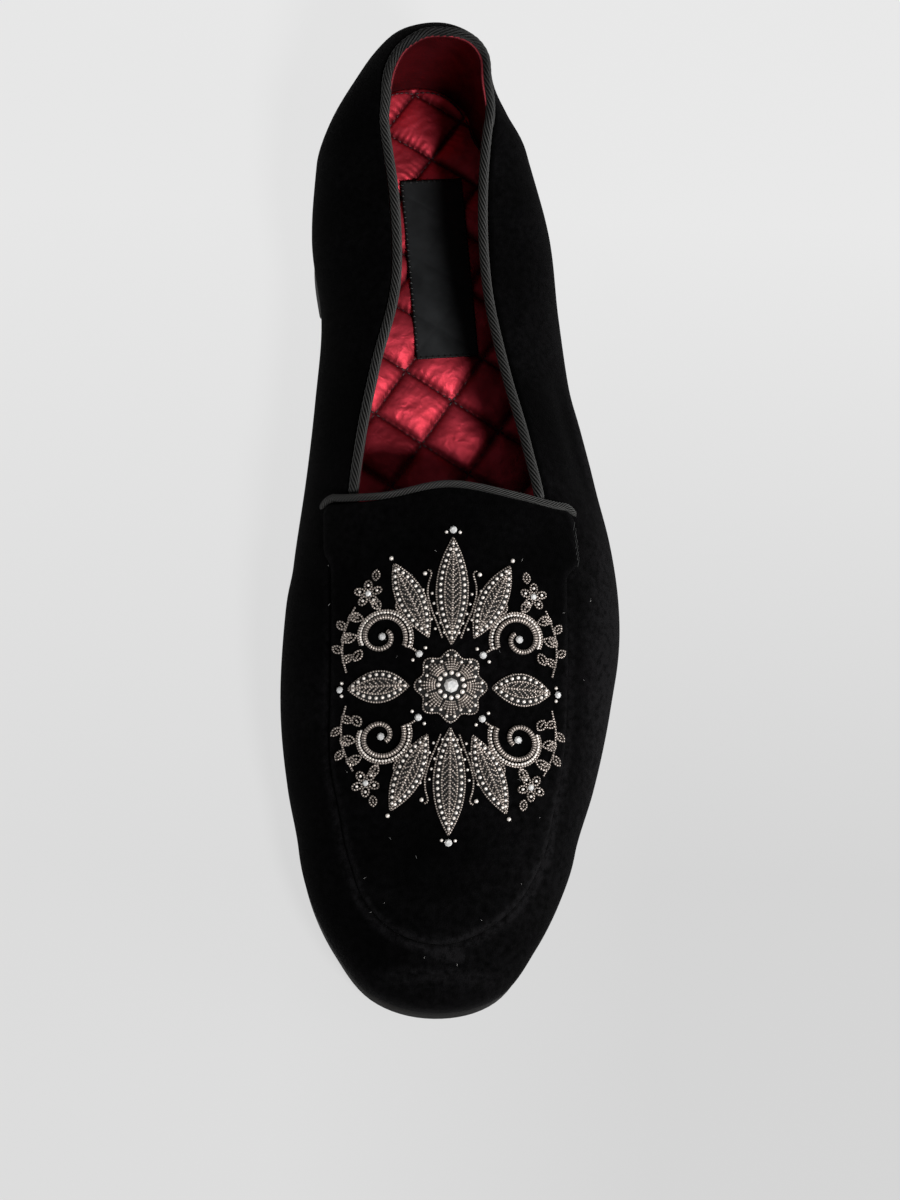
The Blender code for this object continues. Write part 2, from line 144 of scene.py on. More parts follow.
to_eye = Vector((
    -math.sin(VIEW_SIDE),
    -math.cos(VIEW_SIDE) * math.cos(VIEW_RISE),
    math.cos(VIEW_SIDE) * math.sin(VIEW_RISE),
))
eye_right = (-to_eye).cross(Vector((0.0, 1.0, 0.0))).normalized()
eye_up = eye_right.cross(-to_eye).normalized()
eye_data = bpy.data.cameras.new("eye")
eye_data.sensor_width = 36.0
eye_data.lens = VIEW_LENS
eye_data.shift_x, eye_data.shift_y = VIEW_SHIFT
eye = add_object("eye", eye_data)
eye.matrix_world = Matrix.Translation(VIEW_AIM + to_eye * VIEW_DISTANCE) @ Matrix((
    eye_right, eye_up, to_eye)).transposed().to_4x4()
bpy.context.scene.camera = eye

for name, way, distance, width, power in LAMP_ROWS:
    direction = Vector(way).normalized()
    lamp_data = bpy.data.lights.new(name, "AREA")
    lamp_data.shape = "DISK"
    lamp_data.size = width
    lamp_data.energy = power
    lamp = add_object(name, lamp_data)
    lamp.location = direction * distance
    lamp.rotation_mode = "QUATERNION"
    lamp.rotation_quaternion = direction.to_track_quat("Z", "Y")
room = bpy.data.worlds.new("room")
room.use_nodes = True
room_light = {"Color": (1.0, 1.0, 1.0, 1.0), "Strength": ROOM_LIGHT}
wire(room.node_tree, room.node_tree.nodes["Background"], room_light)
bpy.context.scene.world = room
bpy.context.scene.view_settings.view_transform = "Standard"

# Outsole: a thin black leather sole cut to the last's outline, with a flat heel seat, arch,
# tread and toe spring. The leather is finished black, with a smooth burnished edge.

LENGTH = 0.295
BALL_WIDTH = 0.098
INSTEP = 0.062
HEEL_LIFT = 0.011
TOE_SPRING = 0.007
SOLE = 0.0045
SOLE_INSET = 0.0015
GAP = 0.0003
HEEL_TURN = 0.122
SHANK = (0.225, 0.560)
TREAD = 0.715
TOE_TURN = 0.837
HEEL_RADIUS = 0.0350
TOE_RADIUS = 0.0398

LAST_COLUMNS = (
    "name", "station", "fan", "swing", "lean", "medial", "lateral", "belly", "crown", "fullness",
)
LAST_ROWS = (
    ("heel_back", 12.2, 90, -2.4, 3.4, 36.7, 36.7, 32, 126.1, 3.0),
    ("heel_cap", 12.2, 79, -2.4, 3.4, 36.5, 36.1, 32, 127.2, 2.9),
    ("heel_bend", 12.2, 68, -2.4, 3.4, 35.6, 34.2, 31, 124.6, 3.1),
    ("heel_cheek", 12.2, 57, -2.4, 3.4, 33.9, 31.8, 29, 124.0, 2.85),
    ("heel_turn", 12.2, 45, -2.4, 3.4, 32.2, 27.8, 28, 123.4, 2.4),
    ("heel_sweep", 12.2, 22, -2.4, 3.0, 31.4, 27.3, 26, 110, 2.3),
    ("heel_side", 12.2, 0, -2.4, 2.8, 32.6, 31.4, 24, 102, 2.3),
    ("counter", 20.3, 0, 0.0, 1.3, 36.1, 36.2, 21, 94, 2.3),
    ("waist", 28.8, 0, 1.5, 0.6, 34.4, 37.8, 19, 89, 2.2),
    ("quarter", 37.3, 0, 2.2, 0, 36.6, 41.0, 20, 92, 2.2),
    ("instep", 45.8, 0, 2.9, 0, 39.8, 46.8, 22, 98, 2.2),
    ("throat", 52.1, 0, 3.3, 0, 42.7, 51.4, 23, 100, 2.2),
    ("ball", 61.7, 0, 4.3, 0, 47.3, 53.2, 23, 91, 2.2),
    ("joint", 69.8, 0, 4.3, 0, 47.8, 50.0, 21, 82, 2.25),
    ("box", 77.3, 0, 3.5, 0, 44.6, 45.9, 19, 74, 2.3),
    ("toe_side", 83.7, 0, 2.6, 0, 40.2, 41.2, 16, 66, 2.35),
    ("toe_bend", 83.7, -22, 2.6, 0, 39.6, 39.4, 15, 65, 2.4),
    ("toe_turn", 83.7, -45, 2.6, 0, 42.0, 41.5, 15, 64, 2.4),
    ("toe_round", 83.7, -68, 2.6, 0, 47.6, 47.7, 14, 63, 2.4),
    ("toe_tip", 83.7, -90, 2.6, 0, 49.0, 49.0, 13, 62, 2.4),
)


def reach(station, fan):
    """Distance of a section round the foot's side, from the middle of the heel's back."""
    turn = math.radians(fan)
    if fan > 0:
        return HEEL_RADIUS * (math.pi / 2 - turn)
    return HEEL_RADIUS * math.pi / 2 + (station - HEEL_TURN) * LENGTH - TOE_RADIUS * turn


def chart(columns, rows):
    """A table's columns as arrays, with the reach of each row."""
    table = {}
    for index, name in enumerate(columns):
        if name != "name":
            table[name] = np.array([row[index] for row in rows], dtype=float)
    if "station" in table:
        pairs = zip(table["station"] / 100.0, table["fan"])
        table["reach"] = np.array([reach(station, fan) for station, fan in pairs])
    return table


def smooth(table, name, q):
    """A column's value at reach q, on a smooth curve through the rows."""
    knots = table["reach"]
    values = table[name]
    spans = np.diff(knots)
    rises = np.diff(values) / spans
    slopes = np.zeros(len(knots))
    slopes[1:-1] = (spans[1:] * rises[:-1] + spans[:-1] * rises[1:]) / (spans[1:] + spans[:-1])
    q = np.clip(q, knots[0], knots[-1])
    i = np.clip(np.searchsorted(knots, q, side="right") - 1, 0, len(spans) - 1)
    t = (q - knots[i]) / spans[i]
    start = (1 + 2 * t) * (1 - t) ** 2 * values[i] + t * (1 - t) ** 2 * spans[i] * slopes[i]
    end = t * t * (3 - 2 * t) * values[i + 1] + t * t * (t - 1) * spans[i] * slopes[i + 1]
    return start + end


LAST = chart(LAST_COLUMNS, LAST_ROWS)
Q_SIDE = reach(HEEL_TURN, 0)
Q_TOE = reach(TOE_TURN, 0)
Q_TIP = reach(TOE_TURN, -90)


def by_side(table, q, side):
    """Half-width from a table, on the medial side at -1 and the lateral side at 1."""
    medial = smooth(table, "medial", q)
    lateral = smooth(table, "lateral", q)
    return np.where(side < 0, medial, lateral) * BALL_WIDTH / 100


def half_width(q, side):
    return by_side(LAST, q, side)


def spine(q):
    """Point on the floor under the section's middle, and the fan angle of the section."""
    station = HEEL_TURN * LENGTH + np.clip(q - Q_SIDE, 0, Q_TOE - Q_SIDE)
    back = np.maximum(Q_SIDE - q, 0) / HEEL_RADIUS
    fore = np.maximum(q - Q_TOE, 0) / TOE_RADIUS
    swing = smooth(LAST, "swing", np.clip(q, Q_SIDE, Q_TOE)) * BALL_WIDTH / 100
    return swing, station, back - fore


def plan(q, side, r):
    """Plan point at distance r from the spine: x across to the lateral side, s from the heel."""
    swing, station, turn = spine(q)
    return swing + side * r * np.cos(turn), station - r * np.sin(turn)


def world(x, s, z):
    """Points in the part's frame: heel towards +Y, lateral side towards +X."""
    return np.stack(np.broadcast_arrays(x - AXIS_OFFSET, LENGTH / 2 - s, z), axis=-1)


def seat(s):
    """Height of the sole's upper face: flat heel seat, arch, flat tread and toe spring."""
    share = s / LENGTH
    low = SOLE + GAP
    high = low + HEEL_LIFT + GAP
    t = np.clip((share - SHANK[0]) / (SHANK[1] - SHANK[0]), 0, 1)
    drop = t ** 3 * (10 - 15 * t + 6 * t * t)
    spring = np.maximum(0, (share - TREAD) / (1 - TREAD))
    return high + (low - high) * drop + TOE_SPRING * spring ** 2


def halves(v):
    """Side of the shoe and share of the way out from its middle, as v runs across from 0 to 1."""
    return np.where(v < 0.5, -1, 1), np.abs(2 * v - 1)


def lay_sheet(bm, columns, rows, place, **tints):
    """Flat grid moved to place(u, v), u and v from 0 to 1, with a named value a point for each tint."""
    for name in tints:
        if name not in bm.verts.layers.float:
            bm.verts.layers.float.new(name)
    made = bmesh.ops.create_grid(bm, x_segments=columns, y_segments=rows, size=1.0)["verts"]
    flat = np.array([vert.co[:2] for vert in made]) / 2 + 0.5
    for vert, point in zip(made, place(*flat.T)):
        vert.co = point
    for name, value in tints.items():
        layer = bm.verts.layers.float[name]
        for vert, amount in zip(made, value(*flat.T)):
            vert[layer] = amount


def face_up(bm):
    """Turns an open sheet's faces the same way, upward on the whole, and a closed one's outward."""
    bmesh.ops.recalc_face_normals(bm, faces=bm.faces[:])
    is_sheet = any(edge.is_boundary for edge in bm.edges)
    if is_sheet and sum(face.normal.z * face.calc_area() for face in bm.faces) < 0:
        bmesh.ops.reverse_faces(bm, faces=bm.faces[:])


def show(name, mesh, finish):
    """Object of a mesh with its finish, riding with the shoe."""
    mesh.materials.append(finish)
    piece = add_object(name, mesh)
    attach(piece, "root")
    return piece


def add_piece(name, bm, finish, weld=0.00001):
    """Piece from a bmesh, welded, turned outwards and shaded smooth."""
    bmesh.ops.remove_doubles(bm, verts=bm.verts[:], dist=weld)
    face_up(bm)
    mesh = bpy.data.meshes.new(name)
    bm.to_mesh(mesh)
    bm.free()
    mesh.shade_smooth()
    return show(name, mesh, finish)


def thicken(piece, thickness):
    """Wall of even thickness, grown inward from the sheet."""
    wall = piece.modifiers.new("wall", "SOLIDIFY")
    wall.thickness = thickness
    wall.offset = -1
    wall.use_even_offset = True


def round_edges(piece, width):
    edges = piece.modifiers.new("edges", "BEVEL")
    edges.width = width
    edges.segments = 3
    edges.limit_method = "ANGLE"
    edges.angle_limit = math.radians(50)


def mottle(tree, scale, detail, low=0.0, high=1.0):
    """Cloudy value between low and high, by the piece's own coordinates."""
    cloud = add_node(tree, "TexNoise", {"Vector": own_place(tree), "Scale": scale, "Detail": detail})
    spread = {"From Min": 0.3, "From Max": 0.7, "To Min": low, "To Max": high}
    return add_node(tree, "MapRange", {"Value": cloud.outputs["Fac"], **spread}).outputs["Result"]


def bump(tree, height, strength, depth, **under):
    """Surface raised by a height's value, over another surface if one is given as Normal."""
    sockets = {"Height": height, "Strength": strength, "Distance": depth, **under}
    return add_node(tree, "Bump", sockets).outputs["Normal"]


def grain(tree, scale, detail, depth):
    """Fine grain of a hide or cloth as bump."""
    return bump(tree, mottle(tree, scale, detail), 0.6, depth)


def mottled_finish(name, tone, dark, light, sockets, rough=None, grained=None):
    """Finish clouded from dark to light; tone, rough and grained say how coarse each cloud is."""
    material, tree = start_material(name)
    set_shader(tree, {"Base Color": shade_between(tree, mottle(tree, *tone), dark, light), **sockets})
    if rough:
        set_shader(tree, {"Roughness": mottle(tree, *rough)})
    if grained:
        set_shader(tree, {"Normal": grain(tree, *grained)})
    return material


def footprint(name, inset, q_end, height, columns, rows, finish):
    """Sheet inside the last's outline, from the heel's back to reach q_end."""

    def place(u, v):
        side, share = halves(v)
        x, s = plan(u * q_end, side, share * (half_width(u * q_end, side) - inset))
        return world(x, s, height(s))

    bm = bmesh.new()
    lay_sheet(bm, columns, rows, place)
    return add_piece(name, bm, finish)


sole_finish = mottled_finish(
    "black_sole_leather", (60.0, 4.0), (0.004, 0.004, 0.004), (0.010, 0.009, 0.008),
    {"Specular IOR Level": 0.2}, rough=(180.0, 3.0, 0.66, 0.82), grained=(1400.0, 4.0, 0.0002))
leather_sole = footprint("leather_sole", SOLE_INSET, Q_TIP, lambda s: seat(s) - GAP, 160, 8, sole_finish)
thicken(leather_sole, SOLE)
round_edges(leather_sole, 0.0011)
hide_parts("outsole")

# Heel: low lifts of black leather, stacked, glued under the heel seat and trimmed to its
# outline, with fine lines where the lifts meet.

BREAST = 0.250
HEEL_INSET = 0.0022


def bands(tree, direction, scale, distortion):
    """Wavy bands across a direction, by the piece's own coordinates."""
    sockets = {"Vector": own_place(tree), "Scale": scale, "Distortion": distortion}
    return add_node(tree, "TexWave", sockets, bands_direction=direction).outputs["Fac"]


heel_finish, tree = start_material("black_heel_leather")
lifts = bands(tree, "Z", 88.0, 0.4)
set_shader(tree, {
    "Base Color": shade_between(tree, lifts, (0.003, 0.003, 0.003), (0.009, 0.008, 0.007)),
    "Roughness": 0.75, "Specular IOR Level": 0.2, "Normal": bump(tree, lifts, 0.35, 0.0002),
})
stacked_heel = footprint(
    "stacked_heel", HEEL_INSET, reach(BREAST, 0), lambda s: HEEL_LIFT + 0 * s, 60, 6, heel_finish)
thicken(stacked_heel, HEEL_LIFT)
round_edges(stacked_heel, 0.0007)
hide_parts("heel")

# Upper: quarters and vamp of black cotton velvet, pulled over the last and glued under at the
# feather edge. The short nap drinks light and is painted paler along the crests of its creases,
# beside the apron's seam with crushed pile and painted sheen, with a painted highlight on the toe
# and with painted sheen down the lateral vamp.

FEATHER = 0.0035
WALL = 0.0022
VELVET = 0.0012
THROAT = 0.5148
EDGE_COLUMNS = ("name", "station", "fan", "medial", "lateral")
COLLAR_ROWS = (
    ("back", 12.2, 90, 27.5, 27.5),
    ("cap", 12.2, 79, 27.4, 27.9),
    ("bend", 12.2, 68, 26.6, 28.3),
    ("cheek", 12.2, 57, 25.6, 26.9),
    ("turn", 12.2, 45, 23.5, 22.6),
    ("sweep", 12.2, 22, 19.4, 19.1),
    ("side", 12.2, 0, 18.1, 17.2),
    ("counter", 20.3, 0, 15.8, 14.7),
    ("waist", 28.8, 0, 16.2, 15.4),
    ("quarter", 37.3, 0, 22.2, 20.2),
    ("instep", 45.8, 0, 27.4, 25.8),
    ("throat", 53.2, 0, 29.8, 29.4),
)
APRON_ROWS = (
    ("throat", 51.4, 0, 34.4, 34.4),
    ("ball", 61.7, 0, 34.4, 34.4),
    ("joint", 69.8, 0, 34.2, 34.8),
    ("box", 77.3, 0, 33.0, 34.4),
    ("toe_side", 83.7, 0, 28.4, 31.6),
    ("toe_bend", 83.7, -22, 27.8, 30.0),
    ("toe_turn", 83.7, -45, 30.2, 30.3),
    ("toe_round", 83.7, -68, 32.4, 31.6),
    ("toe_tip", 83.7, -90, 33.0, 33.0),
)
THROAT_COLUMNS = ("name", "reach", "dip")
THROAT_ROWS = (
    ("medial_ear", -40, -3.1),
    ("medial_corner", -30, 1.1),
    ("medial_vamp", -20, 2.8),
    ("ridge", 0, 0.0),
    ("lateral_vamp", 20, 2.2),
    ("lateral_corner", 30, 3.0),
    ("lateral_ear", 40, 2.0),
)
COLLAR = chart(EDGE_COLUMNS, COLLAR_ROWS)
SEAM = chart(EDGE_COLUMNS, APRON_ROWS)
LINE = chart(THROAT_COLUMNS, THROAT_ROWS)
Q_THROAT = reach(THROAT, 0)
VAMP_BLEND = 0.030
WALL_BEND = 0.3
WALL_ROWS = 40
RIDGE_ROWS = 24
QUARTER_COLUMNS = 190
VAMP_COLUMNS = 176


def belly(q, side):
    """Height of the widest point of a section."""
    x, s = plan(q, side, half_width(q, side))
    return seat(s) + smooth(LAST, "belly", q) * INSTEP / 100


def crown(q):
    return smooth(LAST, "crown", np.minimum(q, Q_TOE)) * INSTEP / 100


TOE_STEP = 0.0005
TOE_FALL = (crown(Q_TOE - TOE_STEP) - crown(Q_TOE)) / TOE_STEP


def arch(q, side, r):
    """Height of the last's top at distance r from the spine."""
    full = smooth(LAST, "fullness", q)
    low = belly(q, side)
    top = crown(q) - TOE_FALL * r * np.sin(np.maximum(q - Q_TOE, 0) / TOE_RADIUS)
    share = np.minimum(r / half_width(q, side), 1.0)
    return low + (top - low) * (1 - share ** full) ** (1 / full)


def skin(q, side, r):
    """Point of the last's top at distance r from the spine, leaning with its height."""
    low = belly(q, side)
    z = arch(q, side, r)
    rise = (z - low) / (crown(q) - low)
    x, s = plan(q, side, r)
    return world(x + rise * smooth(LAST, "lean", q) * BALL_WIDTH / 100, s, z)


def collar_width(q, side):
    return by_side(COLLAR, q, side)


def seam_width(q, side):
    return by_side(SEAM, q, side)


def throat(across):
    """Reach of the throat's line at a signed distance across from the spine."""
    return Q_THROAT + smooth(LINE, "dip", across / BALL_WIDTH * 100) / 1000


def corner(side):
    """Reach of the corner where collar and throat meet."""
    return throat(side * collar_width(Q_THROAT, side))


def ease(t):
    return t * t * (3 - 2 * t)


def wall_point(q, side, share, edge):
    """Point of the upper's face: share 0 at the feather edge, the bend at the widest, 1 at the edge."""
    width = half_width(q, side)
    beta = np.clip(share / WALL_BEND, 0, 1) * math.pi / 2
    low = seat(plan(q, side, width - FEATHER)[1])
    x, s = plan(q, side, width - FEATHER * (1 - np.sin(beta)))
    foot = world(x, s, low + (belly(q, side) - low) * (1 - np.cos(beta)))
    full = smooth(LAST, "fullness", q)
    end = np.arccos(np.clip(edge / width, 0, 1) ** (full / 2))
    r = width * np.cos(end * np.clip((share - WALL_BEND) / (1 - WALL_BEND), 0, 1)) ** (2 / full)
    return np.where((share < WALL_BEND)[:, None], foot, skin(q, side, r))


def quarter_point(u, v, spare=0.0):
    side, share = halves(u)
    q = share * corner(side)
    return wall_point(q, side, v, collar_width(q, side) - spare)


def vamp_point(u, v):
    """Point of the vamp, up its wall to the seam's line and then across to the ridge."""
    side, run = halves(u)
    row = v * (WALL_ROWS + RIDGE_ROWS)
    share = 1 - np.maximum(row - WALL_ROWS, 0.0) / RIDGE_ROWS
    start = throat(side * share * collar_width(Q_THROAT, side))
    q = start + (Q_TIP - start) * (1 - run)
    blend = ease(np.minimum((q - start) / VAMP_BLEND, 1.0))
    line = collar_width(corner(side), side) * (1 - blend) + seam_width(q, side) * blend
    wall = wall_point(q, side, np.minimum(row / WALL_ROWS, 1.0), line)
    return np.where((row < WALL_ROWS + 0.5)[:, None], wall, skin(q, side, share * line))


def plan_of(points):
    """Plan coordinates of points in the part's frame."""
    return points[:, 0] + AXIS_OFFSET, LENGTH / 2 - points[:, 1]


def locate(x, s):
    """Reach, side and distance from the spine of a plan point."""
    near = HEEL_TURN * LENGTH
    far = TOE_TURN * LENGTH
    q_along = Q_SIDE + np.clip(s, near, far) - near
    across = x - spine(q_along)[0]
    back = np.maximum(near - s, 0)
    fore = np.maximum(s - far, 0)
    q_back = (math.pi / 2 - np.arctan2(back, np.abs(across))) * HEEL_RADIUS
    q_fore = Q_TOE + np.arctan2(fore, np.abs(across)) * TOE_RADIUS
    q = np.where(s < near, q_back, np.where(s > far, q_fore, q_along))
    return q, np.where(across < 0, -1, 1), np.hypot(across, back + fore)


# Creases of the upper in mm: x from the axis, station, direction in degrees from across, half-length,
# half-width, and height with a minus for a trough
CREASE_ROWS = (
    ("lateral_fold", 44, 128, 78, 16, 2.2, 0.9),
    ("lateral_hollow", 40, 126, 78, 18, 2.6, -0.7),
    ("lateral_ear_fold", 42, 178, 80, 16, 2.4, 0.5),
    ("lateral_ear_hollow", 45, 186, 70, 14, 2.6, -0.5),
    ("medial_flex", -36, 170, 62, 13, 3.6, -0.25),
    ("medial_flex_ridge", -38, 176, 62, 12, 3.6, 0.2),
    ("lateral_flex", 47, 205, 118, 12, 4.0, -0.25),
    ("toe_fold", 2, 287, 0, 17, 2.4, 0.5),
    ("toe_hollow", 2, 282.6, 0, 18, 1.8, -0.4),
    ("heel_slump", 27, 22, 40, 12, 4.0, -0.6),
)
# Paling of the nap: along the crests of the folds, and beside the seam as crushed pile with painted sheen
FOLD_PALING = 900
SEAM_RUB_AND_SHEEN = 0.8
SEAM_REACH = (0.0012, 0.0011)
# A painted highlight on the toe
TOE_HIGHLIGHT = 1.6
TOE_HIGHLIGHT_PLACE = (0.0062, 0.2822)
TOE_HIGHLIGHT_HALF = (0.0042, 0.0011)
# Painted sheen down the lateral vamp, lighter on the side where the light falls
LATERAL_SHEEN = 1.1
LATERAL_SHEEN_REACH = (0.198, 0.042)
MOST_RUB_AND_SHEEN = 1.8


def crease(points):
    """Height of the creases at points of the upper."""
    x, s = plan_of(points)
    height = np.zeros(len(x))
    for name, x0, s0, degrees, length, width, rise in CREASE_ROWS:
        turn = math.radians(degrees)
        along = (x * 1000 - x0) * math.cos(turn) + (s * 1000 - s0) * math.sin(turn)
        across = (s * 1000 - s0) * math.cos(turn) - (x * 1000 - x0) * math.sin(turn)
        height += rise / 1000 * np.exp(-(across / width) ** 2) * np.exp(-(along / length) ** 4)
    return height


def press(bm, amount):
    """Moves each point along its normal by the amount for its place."""
    bmesh.ops.remove_doubles(bm, verts=bm.verts[:], dist=0.00001)
    face_up(bm)
    bm.normal_update()
    points = np.array([vert.co[:] for vert in bm.verts])
    for vert, step in zip(bm.verts, amount(points)):
        vert.co = vert.co + vert.normal * step


def rubbed(points):
    """How much paler the nap is painted: crushed pile with painted sheen beside the seam, paler crests of
    the folds, a painted highlight on the toe and painted sheen on the lateral vamp.
    """
    x, s = plan_of(points)
    q, side, r = locate(x, s)
    d = np.where(q > Q_THROAT - 0.004, r - seam_width(q, side), 1.0)
    toe = np.clip((q - Q_THROAT) / 0.10, 0.25, 1.0)
    beside = np.exp(-((d - SEAM_REACH[0]) / SEAM_REACH[1]) ** 2) * toe
    off = ((x - TOE_HIGHLIGHT_PLACE[0]) / TOE_HIGHLIGHT_HALF[0]) ** 2 + ((s - TOE_HIGHLIGHT_PLACE[1]) / TOE_HIGHLIGHT_HALF[1]) ** 2
    # Painted sheen, on the lateral side only
    lateral_sheen = np.exp(-((s - LATERAL_SHEEN_REACH[0]) / LATERAL_SHEEN_REACH[1]) ** 4) * np.clip((d - 0.004) / 0.008, 0, 1)
    folds = FOLD_PALING * np.maximum(crease(points), 0)
    pale_nap_and_sheen = SEAM_RUB_AND_SHEEN * beside + folds + TOE_HIGHLIGHT * np.exp(-off) + LATERAL_SHEEN * lateral_sheen * (side > 0)
    return np.clip(pale_nap_and_sheen, 0, MOST_RUB_AND_SHEEN)


def attribute(tree, name):
    return add_node(tree, "Attribute", {}, attribute_name=name).outputs["Fac"]


def velvet_material(name):
    """Black velvet: dark pile, nap painted paler by crushed pile, painted sheen and a painted highlight,
    soft crushed clouds and a fine pile bump.
    """
    material, tree = start_material(name)
    fleck = mottle(tree, 2000.0, 2.0, 0.35, 1.0)
    # The rub value holds crushed pile, painted sheen and a painted highlight
    pale_nap_and_sheen = math_of(tree, "MULTIPLY_ADD", attribute(tree, "rub"), fleck, mottle(tree, 26.0, 5.0, 0.0, 0.34))
    nap = math_of(tree, "MULTIPLY", pale_nap_and_sheen, mottle(tree, 520.0, 4.0, 0.3, 1.7))
    set_shader(tree, {
        "Base Color": shade_between(tree, nap, (0.0002, 0.0002, 0.0002), (0.0064, 0.0061, 0.0066)),
        "Roughness": 0.95, "Specular IOR Level": 0.02, "Normal": grain(tree, 2400.0, 3.0, 0.00025),
        "Sheen Weight": 0.0066, "Sheen Roughness": 0.45, "Sheen Tint": (0.90, 0.87, 0.92, 1.0),
    })
    return material


velvet = velvet_material("black_velvet")
upper_mesh = bmesh.new()
lay_sheet(upper_mesh, QUARTER_COLUMNS, WALL_ROWS, quarter_point)
lay_sheet(upper_mesh, VAMP_COLUMNS, WALL_ROWS + RIDGE_ROWS, vamp_point)
press(upper_mesh, crease)
rub_layer = upper_mesh.verts.layers.float.new("rub")
upper_points = np.array([vert.co[:] for vert in upper_mesh.verts])
for vert, amount in zip(upper_mesh.verts, rubbed(upper_points)):
    vert[rub_layer] = amount
velvet_upper = add_piece("velvet_upper", upper_mesh, velvet)
thicken(velvet_upper, VELVET)
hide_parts("upper")

# Lining: crimson satin inside the upper, turned up to the collar, where its fold shows as a
# thin bright edge just inside the cord. Its satin is painted a darker copy of the sock's, as
# shade for the dim inside of the upper.

LINING = 0.0007
LINING_SPARE = 0.0022
LINING_FOOT = 0.08


def satin_material(name, dark, light, creased=0.0):
    """Crimson satin: dyed floats of thread that gleam in their own colour, with painted shade where it is
    sewn down.
    """
    material, tree = start_material(name)
    cloth = shade_between(tree, mottle(tree, 120.0, 4.0), dark, light)
    face = grain(tree, 190.0, 5.0, 0.00018)
    if creased:
        lines = {"Vector": own_place(tree), "Scale": 430.0, "Detail": 3.0, "Distortion": 0.6}
        folds = add_node(tree, "TexNoise", lines, noise_type="RIDGED_MULTIFRACTAL")
        face = bump(tree, folds.outputs["Fac"], 0.5, creased, Normal=face)
    set_shader(tree, {
        # The sewn value darkens the satin with painted shade along the sewn lines
        "Base Color": shade_between(tree, attribute(tree, "sewn"), cloth, [tone * 0.08 for tone in dark]),
        "Roughness": mottle(tree, 300.0, 3.0, 0.48, 0.62), "Normal": face,
        "Metallic": 0.82, "Specular IOR Level": 0.25,
    })
    return material


# A darker copy of the sock's satin: painted shade
satin = satin_material("shaded_crimson_satin", (0.080, 0.009, 0.012), (0.150, 0.016, 0.022))
lining_mesh = bmesh.new()
lay_sheet(
    lining_mesh, QUARTER_COLUMNS, WALL_ROWS,
    lambda u, v: quarter_point(u, LINING_FOOT + (1 - LINING_FOOT) * v, LINING_SPARE))
press(lining_mesh, lambda points: np.full(len(points), -VELVET - GAP))
satin_lining = add_piece("satin_lining", lining_mesh, satin)
thicken(satin_lining, LINING)

# Apron: a velvet plug laid over the vamp from throat to toe and sewn down, its edge turned
# under so that it rolls down to the vamp, with an ear at each end of the throat.

APRON = 0.0014
LIFT = 0.0006
EAR_PROUD = {-1: 0.0012, 1: 0.0027}
EAR_LENGTH = 0.0180
EAR_CORNER = 0.0032
EAR_FLARE = 0.5
EAR_END = (0.004, 0.006)
APRON_FOOT = 0.4
APRON_ROLL = 0.0030
# Crushed pile with a painted highlight along the apron's edge
APRON_RUB_AND_SHEEN = 0.8
APRON_RUB_AND_SHEEN_REACH = 0.0010
APRON_COLUMNS = 104
APRON_LINES = 56
CORNER_COLUMNS = 14


def unit(vectors):
    return vectors / np.linalg.norm(vectors, axis=-1, keepdims=True)


def top(x, s):
    return arch(*locate(x, s))


def normal(x, s):
    """Outward normals of the last's top at plan points."""
    step = 0.0002
    slope_x = (top(x + step, s) - top(x - step, s)) / (2 * step)
    slope_s = (top(x, s + step) - top(x, s - step)) / (2 * step)
    return unit(np.stack(np.broadcast_arrays(-slope_x, slope_s, 1.0), axis=-1))


def laid(x, s, lift):
    """Points raised off the last's top along its normal."""
    return world(x, s, top(x, s)) + normal(x, s) * np.asarray(lift)[..., None]


def proud(side):
    return np.where(side < 0, EAR_PROUD[-1], EAR_PROUD[1])


def ear_middle(side):
    """Distance across of the middle of an ear's rounded corner."""
    return seam_width(Q_THROAT, side) + proud(side) - EAR_CORNER


def ear_top(side):
    """Reach of the top of an ear."""
    return throat(side * ear_middle(side))


def ear_width(q, side):
    """Half-width of the apron with its ear, rounded at the throat's corner."""
    past = np.maximum(q - ear_top(side), 0.0)
    end = ease(np.clip((past - EAR_LENGTH + EAR_END[0]) / EAR_END[1], 0.0, 1.0))
    flare = 1 + EAR_FLARE * np.clip(past / EAR_LENGTH, 0.0, 1.0)
    width = seam_width(q, side) + proud(side) * flare * (1 - end)
    short = np.clip(EAR_CORNER - past, 0.0, EAR_CORNER)
    return width - EAR_CORNER + np.sqrt(EAR_CORNER ** 2 - short ** 2)


def apron_spot(u, v):
    """Plan point of the apron, and its distance from the nearest edge."""
    side, run = halves(u)
    column = (1 - run) * APRON_COLUMNS
    start = throat(side * (1 - v) * ear_width(ear_top(side), side))
    turn = np.minimum(column / CORNER_COLUMNS, 1.0) * math.pi / 2
    past = np.maximum(column - CORNER_COLUMNS, 0.0) / (APRON_COLUMNS - CORNER_COLUMNS)
    first = start + EAR_CORNER * (1 - np.cos(turn))
    q = first + (Q_TIP - first) * past
    width = ear_width(q, side)
    return *plan(q, side, (1 - v) * width), np.minimum(v * width, (q - start) * 3)


def apron_top(u, v):
    x, s, edge = apron_spot(u, v)
    short = np.clip(1 - edge / APRON_ROLL, 0, 1)
    return laid(x, s, LIFT * APRON_FOOT + (LIFT * (1 - APRON_FOOT) + APRON) * np.sqrt(1 - short ** 2))


def apron_under(u, v):
    x, s, edge = apron_spot(u, v)
    return laid(x, s, LIFT * APRON_FOOT)


# Crushed pile with a painted highlight beside the apron's edge, fainter towards the throat
def apron_rub(u, v):
    x, s, edge = apron_spot(u, v)
    beside = np.exp(-((edge - APRON_RUB_AND_SHEEN_REACH) / APRON_RUB_AND_SHEEN_REACH) ** 2)
    return APRON_RUB_AND_SHEEN * beside * np.clip((s - 0.16) / 0.10, 0.35, 1)


